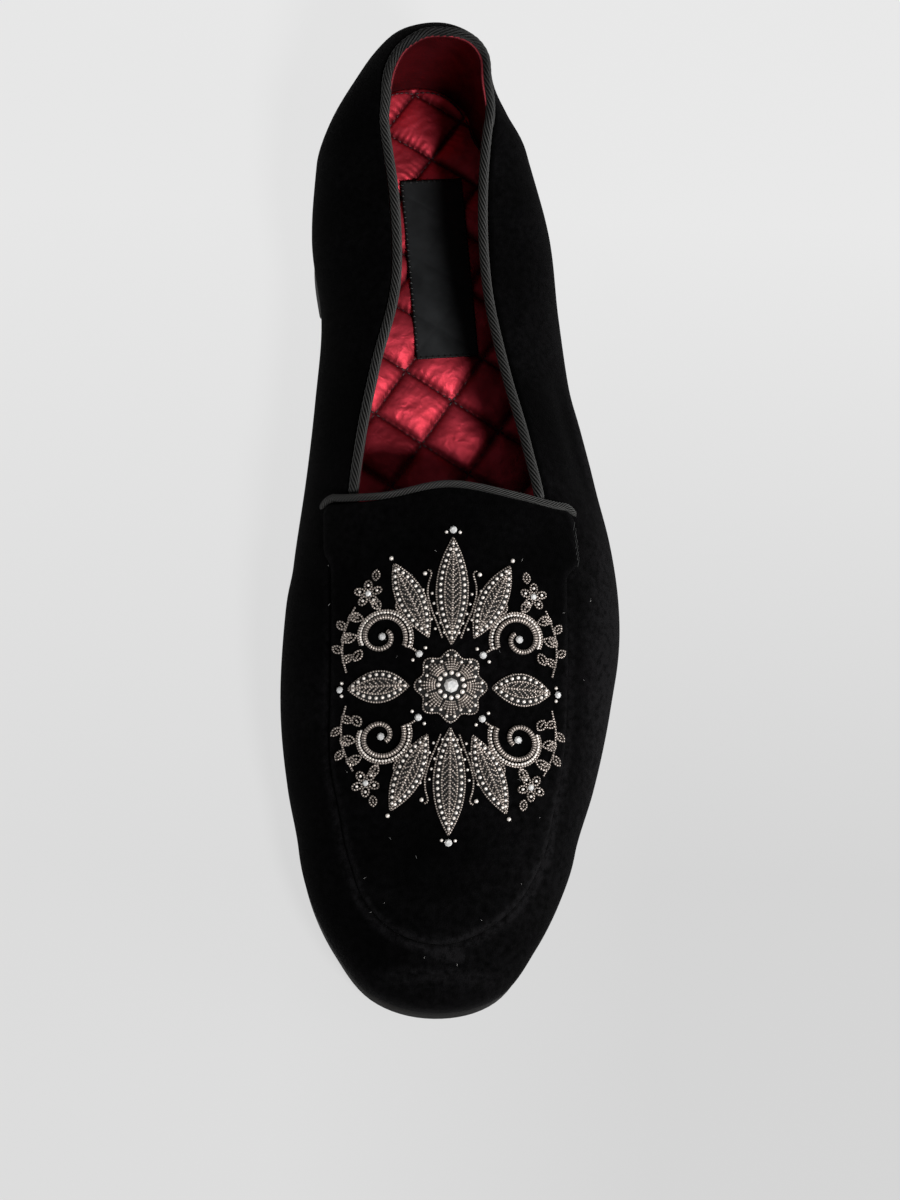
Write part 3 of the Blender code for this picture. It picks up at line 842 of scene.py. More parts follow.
apron_mesh = bmesh.new()
lay_sheet(apron_mesh, 2 * APRON_COLUMNS, APRON_LINES, apron_top, rub=apron_rub)
lay_sheet(apron_mesh, 2 * APRON_COLUMNS, APRON_LINES, apron_under)
velvet_apron = add_piece("velvet_apron", apron_mesh, velvet, weld=0.000005)
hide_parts("apron")

# Cords: round black cord of twisted yarn, sewn along the collar's edge and along the throat,
# where its ends turn down round the ears. The twist shows as fine slanting ribs, painted pale on
# their crests as highlight and black in the grooves as shade; painted shade also darkens the collar
# cord round the heel.

COLLAR_CORD = 0.0030
THROAT_CORD = 0.0023
RIB_DEPTH = 0.30
RIB_SIDES = 6
CORD_STEP = 0.00070
# Reach of the painted shade round the middle of the collar cord, at the heel
HEEL_SHADE_REACH = 0.10
EAR_CORD_END = 32


def cord_material():
    """Black twisted yarn, a little glossy on the ribs, with painted highlight on their crests and painted
    shade in the grooves and round the heel.
    """
    material, tree = start_material("black_cord")
    # Pale crests are painted highlight; black grooves and the darker heel are painted shade
    tone = shade_between(tree, attribute(tree, "rib"), (0.0002, 0.0002, 0.0002), (0.065, 0.064, 0.0615))
    set_shader(tree, {
        "Base Color": tone, "Roughness": 0.50, "Specular IOR Level": 0.20,
        "Normal": grain(tree, 3000.0, 2.0, 0.0001),
    })
    return material


def run_of(path):
    """Distance along a path at each of its points."""
    return np.concatenate([[0.0], np.cumsum(np.linalg.norm(np.diff(path, axis=0), axis=1))])


def at_runs(runs, run, path):
    """Points of a path at given distances along it."""
    return np.stack([np.interp(runs, run, column) for column in path.T], axis=1)


def square_to(tangent, ways):
    """Ways turned square to a tangent."""
    return unit(ways - tangent * np.sum(ways * tangent, axis=1, keepdims=True))


def add_cord(name, path, out, diameter, fine_end, strands, lay, unrubbed=0.0):
    """Cord of strands at a lay in degrees, along a dense path with its ways out, its ends drawn fine.

    Painted shade takes the given share of its paleness away round its middle, where the heel is."""
    run = run_of(path)
    count = int(run[-1] / CORD_STEP)
    even = np.linspace(0, run[-1], count + 1)
    centre = at_runs(even, run, path)
    tangent = unit(np.gradient(centre, axis=0))
    face = square_to(tangent, at_runs(even, run, out))
    across = np.cross(tangent, face)
    twist = -run[-1] / (diameter / 2) * math.tan(math.radians(lay))

    def ribs(v):
        return np.abs(np.sin(v * math.pi * strands))

    # Paleness painted on the ribs' crests as highlight, black in the grooves as shade, dimmed by painted
    # shade round the heel
    def rib_and_heel_shade(u, v):
        return ribs(v) ** 5 * (1 - unrubbed * np.exp(-((u - 0.5) / HEEL_SHADE_REACH) ** 4))

    def place(u, v):
        i = np.rint(u * count).astype(int)
        turn = (v * 2 * math.pi + u * twist)[:, None]
        end = np.minimum(even[i], run[-1] - even[i]) / fine_end
        taper = np.sqrt(1 - (1 - np.clip(end, 0, 1)) ** 2)
        radius = (diameter / 2 * taper * (1 - RIB_DEPTH + RIB_DEPTH * ribs(v)))[:, None]
        return centre[i] + radius * (face[i] * np.cos(turn) + across[i] * np.sin(turn))

    bm = bmesh.new()
    lay_sheet(bm, count, strands * RIB_SIDES, place, rib=rib_and_heel_shade)
    return add_piece(name, bm, cord, weld=0.000002)


def collar_centre(q, side):
    """Centre of the collar's cord on the velvet's part of the rim, and the way out from it."""
    step = 0.0004

    def rim_at(q, inside=0.0):
        return skin(q, side, collar_width(q, side) - inside)

    rim = rim_at(q)
    up = unit(rim_at(q, step) - rim)
    out = unit(np.cross(up, rim_at(q + step) - rim_at(np.maximum(q - step, 0)))) * side[:, None]
    return rim - out * WALL * 0.4 + up * (COLLAR_CORD / 2 + GAP), out


cord = cord_material()
collar_u = np.linspace(-1, 1, 1201)
collar_side = np.where(collar_u < 0, -1, 1)
collar_q = np.abs(collar_u) * (corner(collar_side) - THROAT_CORD)
collar_path, collar_out = collar_centre(collar_q, collar_side)
# The collar cord's stretch round the heel is darkened with painted shade
rope_collar = add_cord(
    "rope_collar", collar_path, collar_out, COLLAR_CORD, fine_end=0.0012, strands=9, lay=28, unrubbed=0.80)
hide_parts("collar_cord")

throat_off = THROAT_CORD / 2 - GAP / 2
heel_offset = HEEL_TURN * LENGTH - Q_SIDE
throat_x = spine(Q_THROAT)[0]


def ear_bend(side):
    """Plan points of the throat cord's turn round an ear, from its end up to the throat."""
    turns = np.radians(np.linspace(EAR_CORD_END, 90, 60))
    x = throat_x + side * (ear_middle(side) + np.cos(turns) * (EAR_CORNER + throat_off))
    s = ear_top(side) + heel_offset + EAR_CORNER - np.sin(turns) * (EAR_CORNER + throat_off)
    return np.stack([x, s], axis=1)


span = np.linspace(-ear_middle(-1), ear_middle(1), 300)[1:-1]
throat_line = np.stack([throat_x + span, throat(span) + heel_offset - throat_off], axis=1)
throat_plan = np.concatenate([ear_bend(-1), throat_line, ear_bend(1)[::-1]]).T
rope_throat = add_cord(
    "rope_throat", laid(*throat_plan, THROAT_CORD / 2), normal(*throat_plan), THROAT_CORD,
    fine_end=0.0045, strands=8, lay=40)
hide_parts("throat_cord")

# Sock: crimson satin over a thin wad, sewn through in diamonds with dark thread, and glued to
# the insole inside the shoe. The wad swells between the sewn lines, and painted shade darkens
# the satin along them.

SOCK = 0.0035
SOCK_CROWN = 0.0010
SOCK_INSET = FEATHER + WALL + GAP
SOCK_BORDER = 0.05
SOCK_COLUMNS = 500
SOCK_ROWS = 116
UNDER_ROWS = 10
QUILT_START = np.array([-0.00632, 0.09666])
QUILT_P = np.array([0.0142, 0.0086])
QUILT_Q = np.array([-0.0090, 0.0130])
QUILT_PITCH = (0.0166, 0.0158)
QUILT_SWELL = 0.0027
QUILT_SINK = 0.0024
QUILT_STITCH = 0.125
PUCKER = 0.00026
PUCKER_FADE = 0.11
LOOSE = 0.00005
# Painted shade along the sewn lines: its depth, and how far it spreads
SEAM_SHADE = 0.9
SEAM_SHADE_FADE = 0.00095
# Loose creases of the satin over the wad: waves a diamond along each sewn direction, and their start
WAVES = (
    (2.9, 1.2, 0.4), (-1.7, 3.6, 1.9), (4.3, -2.2, 2.7),
    (1.1, 5.2, 0.9), (-4.9, -2.7, 3.8), (5.6, 3.1, 5.1),
)


def quilt(x, s):
    """Place in the quilt's diamonds, counted along its two sewn directions."""
    det = QUILT_P[0] * QUILT_Q[1] - QUILT_P[1] * QUILT_Q[0]
    dx = x - QUILT_START[0]
    ds = s - QUILT_START[1]
    return (dx * QUILT_Q[1] - ds * QUILT_Q[0]) / det, (ds * QUILT_P[0] - dx * QUILT_P[1]) / det


def from_line(i):
    """Distance from the nearest sewn line, in diamonds."""
    return np.abs(i - np.rint(i))


def swell(i, j):
    """Share of the wad's full height: 0 on a sewn line, 1 at a diamond's middle."""
    return ((1 - (1 - from_line(i) * 2) ** 3) * (1 - (1 - from_line(j) * 2) ** 3)) ** 0.60


def gathers(across, along):
    """Waves a stitch apart beside the lines that run along."""
    wave = np.cos(2 * math.pi * along / QUILT_STITCH + 1.5 * np.sin(5 * along))
    return np.exp(-from_line(across) / PUCKER_FADE) * wave


def pucker(i, j):
    """Small gathers beside the sewn lines, stronger here and weaker there."""
    uneven = 0.6 + 0.4 * np.sin(2.3 * i + 1.7 * j) * np.cos(1.1 * i - 2.9 * j)
    return PUCKER * (gathers(i, j) + gathers(j, i)) * uneven


def loose(i, j):
    """Uneven creases of the satin, sharper on their crests."""
    sway = 0.9 * np.sin(1.3 * i - 2.1 * j)
    waves = sum(np.sin(math.pi * (p * i + q * j) + start + sway) for p, q, start in WAVES)
    return LOOSE * (1 - np.abs(waves))


def seam_shade(i, j):
    """Painted shade of a sewn line's valley: 1 on the line, fading over a millimetre."""
    near = np.minimum(from_line(i) * QUILT_PITCH[0], from_line(j) * QUILT_PITCH[1])
    return np.exp(-(near / SEAM_SHADE_FADE) ** 2)


def sock_edge(q, side):
    """Half-width of the sock's face, where it meets the lining."""
    rise = belly(q, side) - seat(plan(q, side, half_width(q, side) - FEATHER)[1])
    swing = np.sin(np.arccos(np.clip(1 - SOCK / rise, -1, 1)))
    return half_width(q, side) - FEATHER * (1 - swing) - VELVET - LINING - 2 * GAP


def sock_top(s, share):
    return seat(s) + SOCK + SOCK_CROWN * (0.6 + 0.4 * share ** 2)


def sock_height(x, s, share):
    """Height of the quilted sock's face."""
    i, j = quilt(x, s)
    border = np.clip((1 - share) / SOCK_BORDER, 0, 1)
    wad = QUILT_SWELL * swell(i, j) + pucker(i, j) + loose(i, j) * swell(i, j)
    return sock_top(s, share) - QUILT_SINK + wad * border + QUILT_SINK * 0.4 * (1 - border)


def sock_spot(u, v):
    """Plan point of the sock's face, and its share of the way to the edge."""
    side, share = halves(v)
    return *plan(u * Q_TIP, side, share * sock_edge(u * Q_TIP, side)), share


def sock_point(u, v):
    x, s, share = sock_spot(u, v)
    return world(x, s, sock_height(x, s, share))


# Painted shade along the sock's sewn lines
def sock_seam_shade(u, v):
    return SEAM_SHADE * seam_shade(*quilt(*sock_spot(u, v)[:2]))


def sock_under(u, v):
    """Edge and underside of the sock, from the medial edge round below to the lateral edge."""
    q = u * Q_TIP
    side, share = halves(v)
    share = np.clip(share * 1.25, 0, 1)
    at_edge = (v < 0.001) | (v > 0.999)
    edge = np.where(at_edge, sock_edge(q, side), half_width(q, side) - SOCK_INSET)
    x, s = plan(q, side, share * edge)
    return world(x, s, np.where(at_edge, sock_height(x, s, share), seat(s) + GAP))


quilted_satin = satin_material("quilted_satin", (0.45, 0.033, 0.050), (0.68, 0.057, 0.088), 0.00026)
sock_mesh = bmesh.new()
lay_sheet(sock_mesh, SOCK_COLUMNS, SOCK_ROWS, sock_point, sewn=sock_seam_shade)
lay_sheet(sock_mesh, SOCK_COLUMNS, UNDER_ROWS, sock_under)
quilted_sock = add_piece("quilted_sock", sock_mesh, quilted_satin)
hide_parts("insole")

# Quilting thread: dark red thread in short stitches that sink into the sewn lines of the sock,
# and a row of them round the heel's edge.

STITCH_SIZE = (0.00090, 0.00034, 0.00030)
STITCH_STEP = 0.0008
STITCH_LIFT = 0.00010
SEWN_SHARE = 0.96
SEWN_STATIONS = (0.006, 0.289)
BORDER_SHARE = 0.955
BORDER_PITCH = 0.0018
UP = np.array([0.0, 0.0, 1.0])


def scatter(name, seed_mesh, places, finish, flat=False):
    """One joined mesh: the seed shape at each place, given as an origin and three half-axes."""
    seed_mesh.verts.index_update()
    seed = np.array([vert.co[:] for vert in seed_mesh.verts])
    sides = [[vert.index for vert in face.verts] for face in seed_mesh.faces]
    seed_mesh.free()
    origins = np.array([place[0] for place in places])
    axes = np.array([place[1] for place in places])
    points = origins[:, None, :] + np.einsum("ka,nac->nkc", seed, axes)
    faces = []
    for n in range(len(places)):
        faces += [[index + n * len(seed) for index in side] for side in sides]
    mesh = bpy.data.meshes.new(name)
    mesh.from_pydata(points.reshape(-1, 3).tolist(), [], faces)
    if not flat:
        mesh.shade_smooth()
    return show(name, mesh, finish)


def ball_seed(around=6, down=4):
    bm = bmesh.new()
    bmesh.ops.create_uvsphere(bm, u_segments=around, v_segments=down, radius=1.0)
    return bm


def axes_of(run, rise, size):
    """Half-axes of a small shape: along its run, across it, and up as near as can be to rise."""
    run = unit(run)
    over = unit(np.cross(rise, run))
    return np.stack([run * size[0], over * size[1], np.cross(run, over) * size[2]], axis=-2)


def sock_share(x, s):
    """A plan point's share of the way to the sock's edge."""
    q, side, r = locate(x, s)
    return r / sock_edge(q, side)


thread_finish = mottled_finish(
    "dark_red_thread", (700.0, 2.0), (0.012, 0.002, 0.003), (0.060, 0.005, 0.010), {"Roughness": 0.55})
quilt_stitches = []
spots = np.arange(-16, 17, QUILT_STITCH)[:, None] + QUILT_STITCH / 2
for apart, along in ((QUILT_P, QUILT_Q), (QUILT_Q, QUILT_P)):
    ahead = unit(along) * STITCH_STEP
    for line in range(-14, 15):
        place = QUILT_START + line * apart + spots * along
        x, s = place.T
        sewn = (sock_share(x, s) < SEWN_SHARE) & (s > SEWN_STATIONS[0]) & (s < SEWN_STATIONS[1])
        ends = []
        for spot in (place[sewn] - ahead, place[sewn] + ahead):
            share = np.minimum(sock_share(*spot.T), 1.0)
            ends.append(world(*spot.T, sock_height(*spot.T, share)))
        origins = (ends[0] + ends[1]) / 2 + UP * STITCH_LIFT
        quilt_stitches += zip(origins, axes_of(ends[1] - ends[0], UP, STITCH_SIZE))
for side in (-1, 1):
    q = np.arange(BORDER_PITCH / 2, Q_SIDE + 0.012, BORDER_PITCH)
    x, s = plan(q, side, BORDER_SHARE * sock_edge(q, side))
    points = world(x, s, sock_height(x, s, BORDER_SHARE))
    run = unit(np.gradient(points, axis=0))
    over = np.cross(UP, run)
    axes = (run * STITCH_SIZE[0], over * STITCH_SIZE[1], np.cross(run, over) * STITCH_SIZE[2])
    quilt_stitches += zip(points, np.stack(axes, axis=1))
quilt_thread = scatter("quilt_thread", ball_seed(), quilt_stitches, thread_finish)

# Label: a bare tab of black woven satin, folded under at its edges and sewn to the sock, a
# little askew.

LABEL_SIZE = (0.0186, 0.0580)
LABEL_STATION = 0.218
LABEL_TURN = math.radians(5.0)
LABEL_MIDDLE = 0.0035
LABEL_CLOTH = 0.0004
LABEL_RISE = 0.0007
LABEL_SWELL = 0.00022
LABEL_GRID = (44, 132)
SELVEDGE = 0.0006
LABEL_MARGIN = 0.0004
LABEL_PITCH = 0.0018
LABEL_STITCH = (0.00034, 0.00062, 0.00016)
LABEL_STITCH_LIFT = 0.00006
LEVEL = np.array([1.0, 1.0, 0.0])


def turned(a, b, turn):
    return a * math.cos(turn) - b * math.sin(turn), a * math.sin(turn) + b * math.cos(turn)


def label_point(u, v, lift=0.0):
    """Point of the label's face, following the quilt under it a little."""
    x, s = turned((u - 0.5) * LABEL_SIZE[0], (v - 0.5) * LABEL_SIZE[1], -LABEL_TURN)
    x = x + LABEL_MIDDLE
    s = s + LABEL_STATION * LENGTH
    low = sock_top(s, np.minimum(sock_share(x, s), 1.0))
    return world(x, s, low + LABEL_RISE + LABEL_SWELL * (swell(*quilt(x, s)) - 0.5) + lift)


def label_selvedge(u, v):
    near = np.minimum(np.minimum(u, 1 - u) * LABEL_SIZE[0], np.minimum(v, 1 - v) * LABEL_SIZE[1])
    return np.exp(-(near / SELVEDGE) ** 2)


label_finish, tree = start_material("black_label_satin")
woven = shade_between(tree, mottle(tree, 160.0, 3.0), (0.010, 0.0106, 0.0112), (0.020, 0.0212, 0.0224))
set_shader(tree, {
    "Base Color": shade_between(tree, attribute(tree, "selvedge"), woven, (0.001, 0.001, 0.001)),
    "Roughness": 0.55, "Specular IOR Level": 0.16,
    "Normal": bump(tree, bands(tree, "Y", 1500.0, 1.5), 0.12, 0.00008),
})
label_mesh = bmesh.new()
lay_sheet(label_mesh, *LABEL_GRID, label_point, selvedge=label_selvedge)
woven_label = add_piece("woven_label", label_mesh, label_finish)
thicken(woven_label, LABEL_CLOTH)
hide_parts("label")

label_thread = mottled_finish(
    "black_thread", (900.0, 2.0), (0.002, 0.002, 0.002), (0.010, 0.010, 0.010), {"Roughness": 0.5})
label_stitches = []
for axis in (1, 0):
    count = int((LABEL_SIZE[axis] - 2 * LABEL_MARGIN) / LABEL_PITCH)
    along = (LABEL_MARGIN + (np.arange(count) + 0.5) * LABEL_PITCH) / LABEL_SIZE[axis]
    margin = LABEL_MARGIN / LABEL_SIZE[1 - axis]
    for edge in (margin, 1 - margin):
        u, v = (edge + 0 * along, along) if axis else (along, edge + 0 * along)
        points = label_point(u, v, LABEL_STITCH_LIFT)
        ways = np.gradient(points, axis=0) * LEVEL
        label_stitches += zip(points, axes_of(ways, UP, LABEL_STITCH))
label_sewing = scatter("label_sewing", ball_seed(), label_stitches, label_thread)

# Ear stitches: a short row of black thread, whipped over the outer edge of the lateral ear to
# hold it down on the vamp.

WHIP_RUN = (0.0020, 0.0135, 0.0017)
# Ends of a stitch: distance out from the ear's edge, and share of the apron's thickness
WHIP_ENDS = ((-0.0014, 0.88), (-0.0002, 0.35))
WHIP_SLANT = 3
WHIP_HALF = (0.00016, 0.00012)
WHIP_LIFT = 0.0001
ear_stitches = []
for past in np.arange(*WHIP_RUN):
    q = ear_top(1) + past
    spots = []
    for off, share in WHIP_ENDS:
        x, s = plan(q - WHIP_SLANT * off, 1, ear_width(q, 1) + off)
        spots.append(laid(x, s, LIFT + APRON * share + WHIP_HALF[1]))
        rise = normal(x, s)
    run = (spots[1] - spots[0]) / 2
    over = np.cross(rise, unit(run))
    middle = (spots[0] + spots[1]) / 2 + rise * WHIP_LIFT
    ear_stitches.append((middle, (run, over * WHIP_HALF[0], rise * WHIP_HALF[1])))
ear_sewing = scatter("ear_sewing", ball_seed(), ear_stitches, label_thread)

# Emblem rosette: eight padded petals under short lengths of coiled gunmetal wire, sewn side by
# side from the middle outwards, with a finer coil round the petals' edge.

EMBLEM_STATION = 0.705
EMBLEM_BASE = LIFT + APRON + GAP
EMBLEM_MIDDLE = float(spine(reach(EMBLEM_STATION, 0))[0])
COIL = 0.36
FINE_COIL = 0.29
COIL_PITCH = 0.72
ROSETTE = 9.2
ROSETTE_LOBES = 8
ROSETTE_HEIGHT = 2.2
PETAL_START = 4.4
PETAL_MARGIN = 1.7
PETAL_FANS = (-15.0, -7.5, 0.0, 7.5, 15.0, 22.5)
RIM_BEADS = 24
RIM_INSET = 1.05
RIM_BEAD = 1.05
EYE_BEADS = 12
EYE_RING = 3.55


def emblem_plan(a, b):
    """Plan points of the emblem in mm: a across and b towards the toe from its middle."""
    return EMBLEM_MIDDLE + a / 1000, EMBLEM_STATION * LENGTH + b / 1000


def emblem_point(a, b, lift):
    return laid(*emblem_plan(a, b), EMBLEM_BASE + lift / 1000)


def add_coil(bm, a, b, lift, radius, step=0.8):
    """Coiled wire through emblem points with their lift in mm, closed to a tip at both ends."""
    path = np.stack(np.broadcast_arrays(a, b, lift), axis=1)
    run = run_of(path)
    inner = np.linspace(0, run[-1], max(int(run[-1] / step), 2) + 1)
    even = np.concatenate([[0.0], inner, [run[-1]]])
    spots = at_runs(even, run, path).T
    centre = emblem_point(*spots)
    tangent = np.gradient(centre[1:-1], axis=0)
    tangent = unit(np.concatenate([tangent[:1], tangent, tangent[-1:]]))
    rise = square_to(tangent, normal(*emblem_plan(*spots[:2])))
    across = np.cross(tangent, rise)
    thick = np.full((len(even), 1), radius / 1000)
    thick[[0, -1]] = 0.0
    last = len(even) - 1

    def place(u, v):
        i = np.rint(u * last).astype(int)
        turn = (v * 2 * math.pi)[:, None]
        return centre[i] + thick[i] * (rise[i] * np.cos(turn) + across[i] * np.sin(turn))

    lay_sheet(bm, last, 6, place, along=lambda u, v: even[np.rint(u * last).astype(int)])


def add_pad(bm, outline, height):
    """Low felt pad with a flat base, pressed to an outline in mm."""
    made = bmesh.ops.create_uvsphere(bm, u_segments=32, v_segments=12, radius=1.0)["verts"]
    ball = np.array([vert.co[:] for vert in made])
    a, b = outline(ball[:, 0], ball[:, 1])
    for vert, point in zip(made, emblem_point(a, b, np.maximum(ball[:, 2], 0) * height)):
        vert.co = point


def metal_material(name, dark, light, roughness):
    """Antique silver wire: bright on the turns of the coil and dark between them."""
    material, tree = start_material(name)
    phase = math_of(tree, "MULTIPLY", attribute(tree, "along"), 2 * math.pi / COIL_PITCH)
    turns = math_of(tree, "MULTIPLY_ADD", math_of(tree, "SINE", phase), 0.5, 0.5)
    bright = math_of(tree, "MULTIPLY", turns, mottle(tree, 420.0, 2.0, 0.40, 1.0))
    set_shader(tree, {
        "Base Color": shade_between(tree, bright, dark, light), "Roughness": roughness,
        "Metallic": 0.6, "Normal": bump(tree, turns, 0.9, 0.00018),
    })
    return material


gunmetal = metal_material("gunmetal_coil", (0.050, 0.040, 0.033), (0.79, 0.69, 0.62), 0.34)
felt = mottled_finish(
    "dark_felt", (1200.0, 3.0), (0.003, 0.003, 0.003), (0.012, 0.011, 0.010),
    {"Roughness": 0.9}, grained=(2600.0, 2.0, 0.0002))


def lobe(turn):
    return ROSETTE * (1 + 0.10 * np.cos(ROSETTE_LOBES * turn))


def rosette_lift(r, turn):
    return ROSETTE_HEIGHT * np.sqrt(np.clip(1 - (r / lobe(turn)) ** 2, 0, 1))


# Beads and stones in mm: place across and towards the toe, lift and size
beads = []
stones = []
coil_mesh = bmesh.new()
pad_mesh = bmesh.new()
add_pad(pad_mesh, lambda x, y: (x * lobe(np.arctan2(y, x)), y * lobe(np.arctan2(y, x))), ROSETTE_HEIGHT)
for petal in range(ROSETTE_LOBES):
    for fan in PETAL_FANS:
        start = math.radians(petal * 45 + fan * 0.75)
        end = math.radians(petal * 45 + fan)
        t = np.linspace(0, 1, 8)
        r = PETAL_START + (lobe(end) - PETAL_MARGIN - PETAL_START) * t
        turn = start + (end - start) * t
        add_coil(coil_mesh, r * np.cos(turn), r * np.sin(turn), rosette_lift(r, turn) + 0.2, COIL)
turn = np.linspace(0, 2 * math.pi, 97)
add_coil(coil_mesh, lobe(turn) * np.cos(turn), lobe(turn) * np.sin(turn), 0.3, FINE_COIL, 0.6)
for k in range(RIM_BEADS):
    turn = 2 * math.pi * (k + 0.5) / RIM_BEADS
    r = lobe(turn) - RIM_INSET
    beads.append((r * math.cos(turn), r * math.sin(turn), rosette_lift(r, turn) + 0.25, RIM_BEAD))
for k in range(EYE_BEADS):
    turn = 2 * math.pi * k / EYE_BEADS
    beads.append((EYE_RING * math.cos(turn), EYE_RING * math.sin(turn), 2.45, 1.45))
stones.append((0.0, 0.0, 2.6, 4.4))
rosette_coils = add_piece("rosette_coils", coil_mesh, gunmetal, weld=0.000001)
rosette_pad = add_piece("rosette_pad", pad_mesh, felt)
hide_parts("emblem_rosette")

# Emblem leaves: eight padded leaves round the rosette, each with a rib and two rails of coiled
# wire, beads sewn between the rails and fine wire hatched inside them.

LEAF_HEIGHT = 1.6
LEAF_ROWS = (
    ("toe", 90, 11.6, 41.5, 4.4),
    ("toe_medial", 115, 15.0, 38.0, 3.8),
    ("toe_lateral", 65, 15.0, 38.0, 3.8),
    ("throat", -90, 11.6, 41.5, 4.4),
    ("throat_medial", -115, 15.0, 38.0, 3.8),
    ("throat_lateral", -65, 15.0, 38.0, 3.8),
    ("medial", 180, 11.6, 28.0, 4.4),
    ("lateral", 0, 11.6, 28.0, 4.4),
)
CHEVRON = math.radians(44)
CHEVRON_PITCH = 1.55
HATCH_COIL = 0.24
OUTER_RAIL = (1.0, 1.0)
INNER_RAIL = (0.50, 0.76)
BEAD_RAIL = (0.76, 0.88)
BEAD_PITCH = 1.7
RAIL_BEAD = 1.10


def add_leaf(name, degrees, start, tip, half):
    """Leaf from a start to a tip in mm out from the emblem's middle, with its half-width."""
    middle = (start + tip) / 2
    reach_half = (tip - start) / 2
    coil_mesh = bmesh.new()
    pad_mesh = bmesh.new()

    def spot(along, across):
        """Emblem point of a place in the leaf, with the pad's height there."""
        y = np.clip((along - middle) / reach_half, -1, 1)
        x = across / (half * np.sqrt(np.maximum(1 - y * y, 0.0001)))
        lift = LEAF_HEIGHT * np.sqrt(np.clip(1 - x * x - y * y, 0, 1))
        return *turned(along, across, math.radians(degrees)), lift

    def outline(x, y):
        return spot(middle + y * reach_half, x * half * np.sqrt(np.maximum(1 - y * y, 0)))[:2]

    def rail(width, length):
        """Line round the leaf, at a share of its width and of its length."""
        y = np.sin(np.linspace(-math.pi / 2, math.pi / 2, 40))
        along = middle + y * reach_half * length
        across = half * width * (1 - y * y)
        return np.concatenate([along, along[::-1]]), np.concatenate([across, -across[::-1]])

    def sew(along, across, raised, radius):
        a, b, lift = spot(along, across)
        add_coil(coil_mesh, a, b, lift + raised, radius)

    add_pad(pad_mesh, outline, LEAF_HEIGHT)
    for first in np.arange(start - 3.0, tip - 1.0, CHEVRON_PITCH):
        t = np.linspace(0.3, 8.0, 60)
        along = first + t * math.cos(CHEVRON)
        across = t * math.sin(CHEVRON)
        room = INNER_RAIL[0] * half * (1 - ((along - middle) / reach_half / INNER_RAIL[1]) ** 2) - 0.2
        inside = across < room
        if inside.sum() > 3:
            for side in (-1, 1):
                sew(along[inside], side * across[inside], 0.12, HATCH_COIL)
    sew(*rail(*OUTER_RAIL), 0.3, FINE_COIL)
    sew(*rail(*INNER_RAIL), 0.15, FINE_COIL)
    sew(np.linspace(start + 0.6, tip - 0.6, 40), np.zeros(40), 0.25, COIL)
    line = np.stack(rail(*BEAD_RAIL), axis=1)
    run = run_of(line)
    even = np.arange(0, run[-1], run[-1] / round(run[-1] / BEAD_PITCH))
    for a, b, lift in zip(*spot(*at_runs(even, run, line).T)):
        beads.append((a, b, lift + 0.25, RAIL_BEAD))
    leaf_coils = add_piece("leaf_coils_" + name, coil_mesh, gunmetal, weld=0.000001)
    leaf_pad = add_piece("leaf_pad_" + name, pad_mesh, felt)
    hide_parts("emblem_leaf_" + name)


for row in LEAF_ROWS:
    add_leaf(*row)

# Emblem scrolls: four curls of heavy coiled wire round a stone, with a fine coil and beads
# following outside, small blossoms at the corners and tendrils between the leaves. All four are
# the same, mirrored.

SCROLL_MIDDLE = (19.0, 14.0)
SCROLL_START = 205
SCROLL_SWEEP = 430
SCROLL_COIL = 0.75
BLOSSOM = (22.8, 26.4)
PETAL = (2.35, 1.35, 0.95)
KNOT = 8.9
TENDRIL_ROWS = (
    (2.6, 13.4), (3.9, 17.0), (5.6, 21.0), (6.9, 25.6), (6.6, 29.2), (5.6, 31.4), (5.9, 32.6), (6.8, 32.4),
)
VINE_ROWS = ((28.4, 4.6), (29.6, 9.5), (29.4, 15.2), (27.6, 20.4), (26.2, 23.0))
STEM_ROWS = ((19.6, 21.2), (20.6, 23.0), (21.4, 24.4))
ROOT_ROWS = ((9.8, 9.8), (11.4, 10.8), (13.0, 11.2))
# Leaflets in mm and degrees: share of the curl and length, or place and direction on the vine
CURL_LEAVES = ((0.10, 3.4), (0.19, 3.6), (0.28, 3.6), (0.37, 4.0), (0.46, 4.0), (0.55, 3.4))
VINE_LEAVES = (
    (29.3, 7.6, 140), (29.7, 10.6, 40), (29.6, 13.6, 135),
    (29.0, 17.0, 55), (28.0, 19.6, 150), (21.0, 30.0, 100),
)
CORNER_ROWS = (
    ("toe_medial", -1, 1), ("toe_lateral", 1, 1), ("throat_medial", -1, -1), ("throat_lateral", 1, -1),
)
corner_coils = []
corner_beads = []
corner_stones = [(KNOT, KNOT, 0.7, 2.2), (*SCROLL_MIDDLE, 0.7, 2.3), (*BLOSSOM, 0.7, 1.9)]


def curl(t, off=0.0):
    """Point at a share t of the curl's run, off outside it."""
    turn = np.radians(SCROLL_START - SCROLL_SWEEP * t)
    r = 6.6 - 4.6 * t + off
    return SCROLL_MIDDLE[0] + r * np.cos(turn), SCROLL_MIDDLE[1] + r * np.sin(turn)


def rounded(rows):
    """Smooth run through plan points, by arc length."""
    rows = np.asarray(rows, dtype=float)
    run = run_of(rows)
    line = at_runs(np.linspace(0, run[-1], 60), run, rows)
    for turn in range(12):
        line[1:-1] = (line[:-2] + 2 * line[1:-1] + line[2:]) / 4
    return line.T


def add_leaflet(a, b, degrees, length, half):
    """Small flat leaf of fine coil, with one coil down its middle."""
    y = np.sin(np.linspace(-math.pi / 2, math.pi / 2, 18))
    along = (y + 1) / 2 * length
    across = half * (1 - y * y)
    edge = np.concatenate([along, along[::-1]]), np.concatenate([across, -across[::-1]])
    for run, off in (edge, (np.linspace(0.3, 0.75, 6) * length, np.zeros(6))):
        leaf_a, leaf_b = turned(run, off, math.radians(degrees))
        corner_coils.append((a + leaf_a, b + leaf_b, 0.35, FINE_COIL, 0.6))


